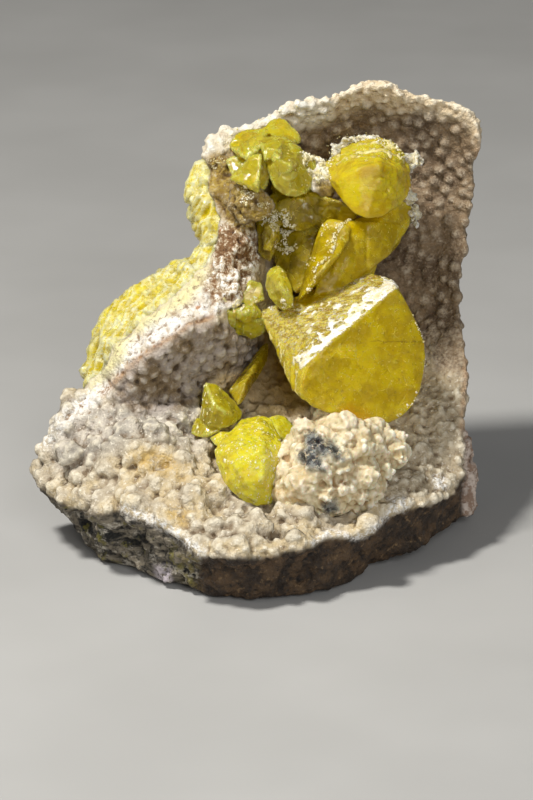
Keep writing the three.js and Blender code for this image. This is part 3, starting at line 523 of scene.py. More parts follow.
def druse():
    """Centres, radii and outward directions of the botryoidal balls."""
    C, R, N, K = [], [], [], []

    def grow(polygon, count, radius, spacing, sink, kind, edge=0.2, keep=None):
        lo, hi = np.min(polygon, 0), np.max(polygon, 0)
        uv = rng.uniform(lo, hi, (count, 2))
        w = inside(uv, polygon, 0.3 + edge)
        uv = uv[(w > rng.uniform(0.15, 0.85, len(w)))]
        p, n, hit = cast(BARE, uv)
        ok = hit & (n[:, 2] > 0.02) & (height_over_rim(p) > -0.25)
        if keep is not None:
            ok &= keep(p)
        p, n = p[ok], n[ok]
        r = radius[0] + (radius[1] - radius[0]) * rng.random(len(p)) ** 1.4
        r = np.where(rng.random(len(r)) < 0.3, r * 1.15, r)
        order = np.argsort(-r + rng.normal(0, 0.12 * radius[1], len(r)))
        p, n, r = p[order], n[order], r[order]
        k = thin_out(p, r, spacing)
        p, n, r = p[k], n[k], r[k]
        c = p + n * (r * sink)[:, None]
        k = clear_of_crystals(c, r)
        C.append(c[k])
        R.append(r[k])
        N.append(n[k])
        K.append(np.full(int(k.sum()), kind))

    everywhere = [(-38.2, -15.5), (-38.2, 3.1), (-28.9, 10.9), (-11.9, 26.4), (-11.9, 43.4), (5.2, 49.6), (20.7, 52.7), (36.2, 48.1), (36.2, -24.8), (-10.3, -31.0)]
    not_special = lambda p: (
        (inside(p, RIDGE_TOP, 0.5) < 0.5)
        & (inside(p, ROCK_MID, 0.5) < 0.5)
        & (inside(p, ROCK_BLOCK, 0.5) < 0.5)
        & (inside(p, RIDGE_INNER, 0.5) < 0.5)
    )
    low = lambda p: p[:, 1] < (400 - 395) / 6.45
    floor = lambda p: not_special(p) & (inside(p, WALL, 1.0) < 0.5) & low(p)
    lumpy = lambda p: floor(p) & (inside(p, LEFT_SLAB, 0.6) < 0.5)
    patchy = lambda size, seed, least: lambda p: floor(p) & (fbm(p, size, seed, 2) > least)
    left = lambda rule: lambda p: rule(p) & (p[:, 0] < 17.5)
    # floor: cauliflower lumps, larger towards the front left
    grow(FLOOR_CLOUD, 900, (1.5, 2.6), 0.80, -0.22, 1, keep=lumpy)
    grow(FLOOR_LEFT, 1800, (1.1, 2.1), 0.78, -0.12, 1, keep=lumpy)
    grow(everywhere, 5000, (0.75, 1.6), 0.80, -0.12, 1, keep=left(lambda p: patchy(4.0, 35, -0.30)(p) & lumpy(p)))
    grow(GREY_RIGHT, 2500, (0.40, 0.85), 0.80, -0.15, 1, keep=floor)
    grow(everywhere, 12000, (0.35, 0.80), 0.80, -0.10, 6, keep=patchy(3.0, 36, -0.05))
    # back wall: scattered raised balls over a finer skin
    grow(WALL, 1500, (0.42, 0.95), 1.0, -0.05, 2, keep=lambda p: fbm(p, 5.0, 34, 2) > -0.25)
    grow(WALL, 14000, (0.22, 0.46), 0.95, -0.35, 3, keep=lambda p: fbm(p, 2.5, 37, 2) > -0.1)
    grow(WALL_BEHIND, 5000, (0.40, 0.85), 0.80, -0.10, 1, keep=lambda p: p[:, 2] < -3.0)
    grow(WALL_LOW, 6000, (0.32, 0.62), 0.75, -0.15, 2)
    grow(WALL_LOW, 9000, (0.25, 0.45), 0.80, -0.10, 6)
    # rim of the wall and the white corner at the top left
    band = [(a, b) for a, b in RIM_TOP]
    rim = lambda p: along(p, band, 2.4, 0.5) > 0.4
    grow(everywhere, 16000, (0.28, 0.55), 0.75, -0.15, 4, keep=rim)
    grow(TOP_LEFT_WHITE, 3500, (0.38, 0.80), 0.68, -0.05, 4)
    # shaded face of the ridge, and the dark pocket
    grow(RIDGE_INNER, 5000, (0.45, 1.05), 0.85, -0.20, 5)
    grow(RIDGE_INNER, 9000, (0.22, 0.40), 0.85, -0.20, 5)
    grow(VUG_DARK, 4000, (0.5, 1.1), 0.70, -0.1, 1)
    return np.concatenate(C), np.concatenate(R), np.concatenate(N), np.concatenate(K)


BALL_C, BALL_R, BALL_N, BALL_K = druse()


def children(c, r, n, count, share, out=0.78):
    """Smaller balls studding the outer half of each lump."""
    m = count
    d = rng.normal(size=(len(c), m, 3))
    d /= np.linalg.norm(d, axis=2, keepdims=True)
    d += n[:, None, :] * 0.75
    d /= np.linalg.norm(d, axis=2, keepdims=True)
    cr = rng.uniform(*share, (len(c), m)) * r[:, None]
    cc = c[:, None, :] + d * (r[:, None, None] * out)
    return cc.reshape(-1, 3), cr.reshape(-1), d.reshape(-1, 3)


big = (BALL_R > 0.8) & (BALL_K == 1)
KID_C, KID_R, KID_N = children(BALL_C[big], BALL_R[big], BALL_N[big], 11, (0.24, 0.52), 0.82)
free = clear_of_crystals(KID_C, KID_R, 6.0, AROUND[:1])
KID_C, KID_R, KID_N = KID_C[free], KID_R[free], KID_N[free]


def stone_mesh():
    parts = [(V_BARE, np.concatenate([F_BARE[:, :3], F_BARE[:, [0, 2, 3]]]))]
    large = BALL_R > 0.7
    parts.append(balls(BALL_C[large], BALL_R[large], 3, rng, 0.0))
    parts.append(balls(BALL_C[~large], BALL_R[~large], 2, rng, 0.0))
    parts.append(balls(KID_C, KID_R, 2, rng, 0.0))
    v, f = join(parts)
    # nothing hangs under the base
    h = height(v)
    v = v + np.where(h < 0, -h, 0)[:, None] * np.array([0, math.cos(LEAN), math.sin(LEAN)])
    return remesh(v, f, VOX)


v, f = stone_mesh()
n = normals(v, f)
spread = Spread(f, len(v))
stay = step(height(v), 0.1, 0.8)
front = ((n[:, 2] > 0.05) & (height_over_rim(v) > -0.2)).astype(float)
show = spread.blur(front, 5)
edge = np.clip(along(v, RIM_TOP[:12], 1.7, 1.1) + along(v, RIM_TOP[:10], 2.8, 1.6) + along(v, RIM_TOP[11:], 0.8, 0.6), 0, 1)
show = np.clip(show + edge * (v[:, 2] > -9.5) * 0.8, 0, 1)
ridge = inside(v, RIDGE_TOP, 0.8) * show
inner = inside(v, RIDGE_INNER, 0.8) * show
block = inside(v, ROCK_BLOCK, 0.8) * show
mid = np.clip(inside(v, ROCK_MID, 0.8) + block, 0, 1) * show
wall = np.clip(inside(v, WALL, 1.5) + inside(v, WALL_BEHIND, 1.0) * step(v[:, 2], -2.0, -4.0), 0, 1) * show
broken = 1 - show

# fine relief
sugar = 0.30 * fbm(v, 1.7, 50, 2) + 0.16 * fbm(v, 0.85, 51, 2) + 0.09 * vnoise(v, 0.42, 52)
c1, c2, who = worley(v, 0.8, 61)
pits = step(c1, 0.25, 0.7)
moved = show * sugar * (1 - 0.55 * wall)
c1, c2, who = worley(v * [1.2, 0.8, 1], 1.5, 75)
moved += ridge * (0.55 * (who - 0.5) * step(c2 - c1, 0.0, 0.3) + 0.9 * fbm(v * [0.7, 1.2, 1], 3.0, 73, 2) + 0.35 * np.abs(fbm(v, 1.6, 74, 2)) + 0.25 * fbm(v, 1.0, 71, 3) - 0.40 * (1 - pits) * step(vnoise(v, 2.0, 72), -0.1, 0.4))
moved += inside(v, WALL_LOW, 1.0) * show * 0.30 * fbm(v, 0.8, 55, 2)
moved += block * 0.30 * fbm(v, 1.2, 56, 2)
c1, c2, who = worley(v * [1.0, 1.3, 1], 0.75, 83)
moved += 0.45 * along(v, CRUST_LINE, 1.2, 0.9) * show
moved += mid * (0.45 * fbm(v, 1.6, 81, 3) + 0.30 * (who - 0.5) * step(c2 - c1, 0.0, 0.3) + 0.22 * fbm(v, 0.65, 84, 2) - 0.9 * np.clip(fbm(v, 1.3, 82, 2) - 0.12, 0, 1))
c1, c2, who = worley(v * [1, 1.4, 1], 0.9, 93)
moved += broken * stay * (0.30 * fbm(v, 1.1, 91, 3) + 0.14 * vnoise(v, 0.5, 92) + 0.22 * (who - 0.5) * step(c2 - c1, 0.0, 0.3))
v = v + n * (moved * stay)[:, None]
n = normals(v, f)

# how proud each point stands of the smooth stone: balls' tops against the cracks between them; the stone material turns
# it into painted highlight on the tops and painted shade in the cracks
proud = np.zeros(len(v))
rough_tree = BARE
base_v = spread.blur(v, 14)
proud = np.einsum("ij,ij->i", v - base_v, n)
proud = np.clip(proud / 0.45, -1, 1)

# how near each point of the wall is to the top of one of its raised balls
spot = np.zeros(len(v))
on_wall = np.nonzero(wall > 0.05)[0]
wc, wr = BALL_C[BALL_K == 2], BALL_R[BALL_K == 2]
if len(wc):
    for part in np.array_split(on_wall, 40):
        d = np.linalg.norm(v[part][:, None, :2] - wc[None, :, :2], axis=2) / wr[None]
        spot[part] = 1 - step(d.min(1), 0.35, 1.15)

tri_zone = {
    "proud": proud,
    "spot": spot,
    "block": block,
    "grey": inside(v, GREY_LEFT, 2.0) * show,
    "warmgrey": inside(v, GREY_RIGHT, 2.0) * show,
    "shade": step(v[:, 0], 29.0, 31.5) * step(-v[:, 1], -44.0, -38.0),
    "rim": edge * show,
    "tinge": along(v, CRUST_LINE, 1.6, 1.2) * show,
    "snow": np.clip(along(v, SNOW_1, 0.7, 0.7) + along(v, SNOW_2, 0.45, 0.45) + along(v, SNOW_5, 1.3, 0.9) * 0.8 + inside(v, SNOW_3, 0.5) + inside(v, SNOW_4, 0.5), 0, 1) * (n[:, 2] > -0.1),
    "flap": inside(v, FLAP, 0.5) * (v[:, 2] > -14),
    "brown": inside(v, BROWN, 1.2) * show,
    "mossy": inside(v, MOSSY, 0.8) * broken,
    "lilac": inside(v, LILAC, 0.6) * broken,
    "lip": np.clip(along(v, RIDGE_LIP, 0.55, 0.45) + 0.8 * along(v, RIM_RIGHT, 0.5, 0.45), 0, 1) * show,
    "wall": wall,
    "ridge": ridge,
    "inner": inner,
    "mid": mid,
    "broken": broken,
    "orange": np.clip(inside(v, ORANGE_1, 1.2) + inside(v, ORANGE_2, 0.8), 0, 1) * show,
    "white": inside(v, TOP_LEFT_WHITE, 1.0) * show,
    # the shaded pocket, which the stone material lightens as painted light
    "dark": inside(v, VUG_DARK, 1.5) * show,
    "flank": inside(v, FLANK, 1.0) * broken * step(n[:, 2], 0.0, 0.3),
}
print("stone", len(v), "verts", len(f), "quads", "balls", len(BALL_R), len(KID_R))

# ---------------------------------------------------------------- materials
class Shader:
    """A small node tree: mm coordinates in, one surface out."""

    def __init__(self, name):
        self.mat = bpy.data.materials.new(name)
        self.mat.use_nodes = True
        self.t = self.mat.node_tree
        self.t.nodes.clear()
        self.out = self.t.nodes.new("ShaderNodeOutputMaterial")
        self.bsdf = self.t.nodes.new("ShaderNodeBsdfPrincipled")
        self.t.links.new(self.bsdf.outputs[0], self.out.inputs["Surface"])
        place = self.t.nodes.new("ShaderNodeTexCoord")
        scaled = self.t.nodes.new("ShaderNodeVectorMath")
        scaled.operation = "SCALE"
        scaled.inputs["Scale"].default_value = 1000.0
        self.t.links.new(place.outputs["Object"], scaled.inputs[0])
        self.mm = scaled.outputs[0]
        moved = self.t.nodes.new("ShaderNodeVectorMath")
        moved.operation = "ADD"
        moved.inputs[1].default_value = tuple(SHIFT)
        self.t.links.new(self.mm, moved.inputs[0])
        # the same place along the leaning frame's axes
        turned = self.t.nodes.new("ShaderNodeVectorRotate")
        turned.rotation_type = "X_AXIS"
        turned.inputs["Angle"].default_value = LEAN - math.pi / 2
        self.t.links.new(moved.outputs[0], turned.inputs["Vector"])
        self.leaning = turned.outputs[0]

    def axes(self, vector):
        n = self.t.nodes.new("ShaderNodeSeparateXYZ")
        self.link(vector, n.inputs[0])
        return n.outputs

    def link(self, a, b):
        self.t.links.new(a, b)

    def set(self, socket, value):
        if isinstance(value, bpy.types.NodeSocket):
            self.link(value, socket)
        elif isinstance(value, (tuple, list)) and len(value) == 3 and len(socket.default_value) == 4:
            socket.default_value = (*value, 1.0)
        else:
            socket.default_value = value

    def stretch(self, scale, turn=(0, 0, 0), vector=None):
        n = self.t.nodes.new("ShaderNodeMapping")
        n.inputs["Scale"].default_value = scale
        n.inputs["Rotation"].default_value = turn
        self.link(vector or self.mm, n.inputs["Vector"])
        return n.outputs[0]

    def noise(self, size, detail=3.0, rough=0.55, vector=None, distort=0.0):
        n = self.t.nodes.new("ShaderNodeTexNoise")
        n.inputs["Scale"].default_value = 1.0 / size
        n.inputs["Detail"].default_value = detail
        n.inputs["Roughness"].default_value = rough
        n.inputs["Distortion"].default_value = distort
        self.link(vector or self.mm, n.inputs["Vector"])
        return n.outputs["Fac"]

    def cells(self, size, feature="F1", output="Distance", vector=None, random=1.0):
        n = self.t.nodes.new("ShaderNodeTexVoronoi")
        n.feature = feature
        n.inputs["Scale"].default_value = 1.0 / size
        n.inputs["Randomness"].default_value = random
        self.link(vector or self.mm, n.inputs["Vector"])
        return n.outputs[output]

    def facets(self, size, vector=None, random=1.0):
        """Small flat faces: the height of a surface tilted its own way in each, and a grey per face."""
        place = vector or self.mm
        n = self.t.nodes.new("ShaderNodeTexVoronoi")
        n.inputs["Scale"].default_value = 1.0 / size
        n.inputs["Randomness"].default_value = random
        self.link(place, n.inputs["Vector"])
        away = self.t.nodes.new("ShaderNodeVectorMath")
        away.operation = "SUBTRACT"
        self.link(place, away.inputs[0])
        self.link(n.outputs["Position"], away.inputs[1])
        tilt = self.t.nodes.new("ShaderNodeVectorMath")
        tilt.operation = "SUBTRACT"
        self.link(n.outputs["Color"], tilt.inputs[0])
        tilt.inputs[1].default_value = (0.5, 0.5, 0.5)
        dot = self.t.nodes.new("ShaderNodeVectorMath")
        dot.operation = "DOT_PRODUCT"
        self.link(away.outputs[0], dot.inputs[0])
        self.link(tilt.outputs[0], dot.inputs[1])
        return dot.outputs["Value"], self.axes(n.outputs["Color"])[1]

    def warped(self, size, amount, vector=None):
        """The coordinates pushed about by a noise, in mm."""
        place = vector or self.mm
        n = self.t.nodes.new("ShaderNodeTexNoise")
        n.inputs["Scale"].default_value = 1.0 / size
        n.inputs["Detail"].default_value = 2.0
        self.link(place, n.inputs["Vector"])
        off = self.t.nodes.new("ShaderNodeVectorMath")
        off.operation = "SUBTRACT"
        self.link(n.outputs["Color"], off.inputs[0])
        off.inputs[1].default_value = (0.5, 0.5, 0.5)
        big = self.t.nodes.new("ShaderNodeVectorMath")
        big.operation = "SCALE"
        big.inputs["Scale"].default_value = amount * 2.0
        self.link(off.outputs[0], big.inputs[0])
        out = self.t.nodes.new("ShaderNodeVectorMath")
        out.operation = "ADD"
        self.link(place, out.inputs[0])
        self.link(big.outputs[0], out.inputs[1])
        return out.outputs[0]

    def attr(self, name):
        n = self.t.nodes.new("ShaderNodeAttribute")
        n.attribute_name = name
        return n.outputs["Fac"]

    def math(self, op, a, b=0.0, c=None, clamp=False):
        n = self.t.nodes.new("ShaderNodeMath")
        n.operation = op
        n.use_clamp = clamp
        self.set(n.inputs[0], a)
        self.set(n.inputs[1], b)
        if c is not None:
            self.set(n.inputs[2], c)
        return n.outputs[0]

    def span(self, value, a, b, lo=0.0, hi=1.0):
        n = self.t.nodes.new("ShaderNodeMapRange")
        n.interpolation_type = "SMOOTHSTEP"
        self.set(n.inputs["Value"], value)
        for key, x in (("From Min", a), ("From Max", b), ("To Min", lo), ("To Max", hi)):
            n.inputs[key].default_value = x
        return n.outputs[0]

    def mix(self, share, a, b, how="MIX"):
        n = self.t.nodes.new("ShaderNodeMix")
        n.data_type = "RGBA"
        n.blend_type = how
        n.clamp_factor = True
        self.set(n.inputs[0], share)
        self.set(n.inputs[6], a)
        self.set(n.inputs[7], b)
        return n.outputs[2]

    def bump(self, height_value, depth, strength=1.0, normal=None):
        n = self.t.nodes.new("ShaderNodeBump")
        n.inputs["Distance"].default_value = depth * MM
        n.inputs["Strength"].default_value = strength
        self.set(n.inputs["Height"], height_value)
        if normal is not None:
            self.link(normal, n.inputs["Normal"])
        return n.outputs[0]

    def finish(self, colour, roughness, normal=None, **constants):
        self.set(self.bsdf.inputs["Base Color"], colour)
        self.set(self.bsdf.inputs["Roughness"], roughness)
        if normal is not None:
            self.link(normal, self.bsdf.inputs["Normal"])
        for key, value in constants.items():
            self.bsdf.inputs[key.replace("_", " ")].default_value = value
        return self.mat


def srgb(r, g, b):
    return tuple(((c / 255 + 0.055) / 1.055) ** 2.4 if c > 10.3 else c / 3294.6 for c in (r, g, b))


def stone_material():
    s = Shader("druse_stone")
    proud = s.attr("proud")
    # painted light: the first span lightens the tops of lumps as a painted highlight, the second darkens the gaps
    # between lumps as painted shade
    top = s.span(proud, -0.1, 0.75)
    crevice_shade = s.span(proud, -0.05, -0.6)
    cloud = s.noise(5.0, 4.0, 0.6)
    grain = s.noise(0.45, 4.0, 0.7)
    sugar = s.cells(0.42)
    # cream druse of the floor
    cream = s.mix(s.span(cloud, 0.40, 0.60), srgb(184, 170, 146), srgb(206, 186, 146))
    cream = s.mix(s.attr("warmgrey"), cream, s.mix(s.span(cloud, 0.4, 0.6), srgb(164, 148, 120), srgb(192, 176, 148)))
    cream = s.mix(s.attr("grey"), cream, s.mix(s.span(cloud, 0.4, 0.6), srgb(160, 152, 140), srgb(200, 190, 176)))
    # painted highlight on the lump tops, then painted shade in the gaps between them
    cream = s.mix(s.math("MULTIPLY", top, s.span(s.noise(2.4, 2.0), 0.3, 0.6, 0.55, 1.0)), cream, srgb(236, 226, 202))
    cream = s.mix(s.math("MULTIPLY", crevice_shade, 0.85), cream, srgb(104, 82, 54))
    cream = s.mix(s.span(s.noise(0.6, 4.0, 0.75), 0.55, 0.68), cream, srgb(238, 230, 212))
    cream = s.mix(s.math("MULTIPLY", s.span(s.noise(1.0, 4.0, 0.75), 0.42, 0.32), 0.6), cream, srgb(150, 126, 92))
    cream = s.mix(s.math("MULTIPLY", s.attr("orange"), s.span(s.noise(1.8, 4.0, 0.7), 0.36, 0.62, 0.0, 0.7)), cream, srgb(204, 168, 84))
    # painted light: the shaded pocket is lightened towards cream
    cream = s.mix(s.math("MULTIPLY", s.attr("dark"), 0.7), cream, srgb(226, 198, 146))
    # brown-grey back wall with pale ball tops; its brown is partly its own stain and partly painted shade
    wall = s.mix(s.span(cloud, 0.38, 0.62), srgb(98, 78, 56), srgb(134, 112, 84))
    wall = s.mix(s.span(s.noise(1.3, 4.0, 0.7), 0.52, 0.66), wall, srgb(148, 128, 102))
    wall = s.mix(s.span(grain, 0.5, 0.72), wall, srgb(166, 148, 122))
    # pale over the raised balls: partly their own paler colour, partly painted highlight on their tops
    wall = s.mix(s.math("MULTIPLY", s.attr("spot"), s.math("MULTIPLY", s.span(grain, 0.3, 0.6), s.span(s.noise(2.2, 2.0), 0.3, 0.6, 0.25, 0.9))), wall, srgb(186, 170, 146))
    # painted shade in the gaps between the balls
    wall = s.mix(s.math("MULTIPLY", crevice_shade, 0.55), wall, srgb(76, 59, 42))
    colour = s.mix(s.attr("wall"), cream, wall)
    # tan rim, white only at the top left
    # painted highlight on the lump tops and painted shade in the gaps, also in the darker right strip
    rim = s.mix(top, srgb(220, 198, 162), srgb(246, 234, 208))
    rim = s.mix(crevice_shade, rim, srgb(158, 130, 96))
    rim = s.mix(s.attr("shade"), rim, s.mix(top, srgb(150, 118, 84), srgb(196, 168, 134)))
    colour = s.mix(s.math("MULTIPLY", s.attr("rim"), 0.85), colour, rim)
    # painted highlight on the lump tops and painted shade in the gaps
    white = s.mix(top, srgb(222, 212, 190), srgb(246, 242, 230))
    white = s.mix(crevice_shade, white, srgb(160, 136, 100))
    colour = s.mix(s.attr("white"), colour, white)
    # ridge: white sugar, dark pits, a few rusty streaks
    pits = s.math("MULTIPLY", s.span(s.noise(0.8, 5.0, 0.8), 0.48, 0.38), s.span(s.noise(3.5, 3.0), 0.38, 0.6, 0.35, 1.0))
    ridge = s.mix(s.span(s.noise(2.2, 4.0, 0.6), 0.45, 0.62), srgb(244, 240, 232), srgb(220, 208, 188))
    ridge = s.mix(s.math("MULTIPLY", s.attr("tinge"), 0.8), ridge, srgb(236, 226, 158))
    ridge = s.mix(pits, ridge, srgb(142, 116, 88))
    rust = s.math("MULTIPLY", s.span(s.noise(2.6, 3.0, 0.6, s.stretch((1.4, 0.5, 1))), 0.64, 0.72), 0.8)
    ridge = s.mix(rust, ridge, srgb(186, 122, 62))
    # painted shade in the gaps between lumps
    ridge = s.mix(crevice_shade, ridge, srgb(150, 126, 98))
    colour = s.mix(s.attr("ridge"), colour, ridge)
    colour = s.mix(s.math("MULTIPLY", s.attr("lip"), 0.85), colour, s.mix(s.span(grain, 0.35, 0.65), srgb(136, 98, 64), srgb(190, 156, 118)))
    # shaded face of the ridge
    inner = s.mix(s.span(cloud, 0.4, 0.6), srgb(132, 112, 84), srgb(168, 156, 146))
    # painted highlight on the lump tops here, painted shade in the gaps below
    inner = s.mix(s.span(proud, 0.1, 0.9), inner, srgb(214, 204, 190))
    inner = s.mix(s.span(grain, 0.55, 0.75), inner, srgb(200, 188, 172))
    inner = s.mix(crevice_shade, inner, srgb(76, 60, 42))
    colour = s.mix(s.attr("inner"), colour, inner)
    # porous host rock, white and brown, fine grained; its blotches lean lighter on lump tops and darker in hollows, as
    # painted highlight and painted shade
    blotch = s.math("ADD", s.math("MULTIPLY", s.math("SUBTRACT", s.noise(2.6, 5.0, 0.85), 0.5), 1.8), s.math("MULTIPLY", proud, 0.55))
    blotch = s.math("ADD", blotch, s.math("MULTIPLY", s.math("SUBTRACT", s.noise(0.6, 4.0, 0.85), 0.5), 2.6))
    blotch = s.math("SUBTRACT", blotch, s.math("MULTIPLY", s.attr("brown"), 0.35))
    rock = s.mix(s.span(blotch, -0.35, 0.15), srgb(122, 86, 48), srgb(206, 188, 158))
    rock = s.mix(s.span(blotch, 0.04, 0.34), rock, srgb(248, 245, 238))
    rock = s.mix(s.span(s.noise(1.8, 4.0, 0.7, s.stretch((1.6, 0.7, 1), (0, 0, 0.5), s.leaning)), 0.60, 0.70, 0.0, 0.8), rock, srgb(172, 104, 48))
    rock = s.mix(s.span(blotch, -0.5, -0.85), rock, srgb(60, 38, 20))
    colour = s.mix(s.attr("mid"), colour, rock)
    # olive-brown block, soaked with sulfur
    olive = s.mix(s.span(s.noise(1.6, 4.0, 0.7), 0.4, 0.6), srgb(128, 100, 24), srgb(170, 142, 46))
    olive = s.mix(s.span(s.noise(0.9, 5.0, 0.8), 0.54, 0.66, 0.0, 0.8), olive, srgb(212, 200, 170))
    # painted shade in the gaps between lumps
    olive = s.mix(crevice_shade, olive, srgb(84, 60, 20))
    colour = s.mix(s.math("MULTIPLY", s.attr("block"), 0.92), colour, olive)
    # broken limestone
    b1 = s.noise(3.2, 4.0, 0.6)
    b2 = s.noise(0.9, 4.0, 0.7)
    dull = s.mix(s.span(b1, 0.4, 0.6), srgb(46, 34, 22), srgb(84, 64, 42))
    dull = s.mix(s.span(b2, 0.56, 0.7), dull, srgb(122, 98, 68))
    dull = s.mix(s.span(b2, 0.42, 0.32), dull, srgb(26, 19, 13))
    # painted shade in the gaps between lumps
    dull = s.mix(crevice_shade, dull, srgb(22, 16, 11))
    colour = s.mix(s.attr("broken"), colour, dull)
    streak = s.noise(3.0, 5.0, 0.7, s.stretch((0.6, 1.4, 1.3), (0, 0, 0.6), s.leaning), 0.6)
    side = s.mix(s.span(streak, 0.40, 0.62), srgb(22, 20, 16), srgb(134, 124, 106))
    side = s.mix(s.span(s.noise(2.6, 5.0, 0.75, s.stretch((0.7, 1.4, 1), (0, 0, 0.6), s.leaning)), 0.52, 0.66, 0.0, 0.9), side, srgb(206, 198, 182))
    side = s.mix(s.span(s.noise(3.0, 4.0, 0.65, s.stretch((1, 1.4, 1))), 0.54, 0.66, 0.0, 0.75), side, srgb(118, 110, 42))
    side = s.mix(s.math("MULTIPLY", s.attr("mossy"), s.span(b2, 0.42, 0.62, 0.0, 0.7)), side, srgb(116, 102, 40))
    side = s.mix(s.math("MULTIPLY", s.attr("lilac"), s.span(b2, 0.35, 0.55)), side, srgb(190, 180, 184))
    side = s.mix(s.span(b2, 0.42, 0.32), side, srgb(16, 14, 12))
    # painted shade in the gaps between lumps
    side = s.mix(crevice_shade, side, srgb(16, 15, 13))
    colour = s.mix(s.attr("flank"), colour, side)
    flap = s.mix(s.span(s.noise(1.4, 4.0, 0.7), 0.42, 0.6), srgb(150, 124, 104), srgb(212, 196, 182))
    # painted shade in the gaps between lumps
    flap = s.mix(crevice_shade, flap, srgb(96, 72, 56))
    colour = s.mix(s.attr("flap"), colour, flap)
    snow = s.math("MULTIPLY", s.attr("snow"), s.span(s.noise(0.9, 4.0, 0.75), 0.42, 0.58))
    colour = s.mix(snow, colour, s.mix(s.span(grain, 0.4, 0.6), srgb(222, 216, 206), srgb(250, 248, 242)))
    relief = s.math("ADD", s.math("MULTIPLY", grain, 1.0), s.math("MULTIPLY", sugar, -0.45))
    normal = s.bump(relief, 0.32, 1.0)
    rough = s.span(s.noise(0.4, 2.0), 0.3, 0.7, 0.5, 0.85)
    return s.finish(colour, rough, normal, Specular_IOR_Level=0.4, IOR=1.55)


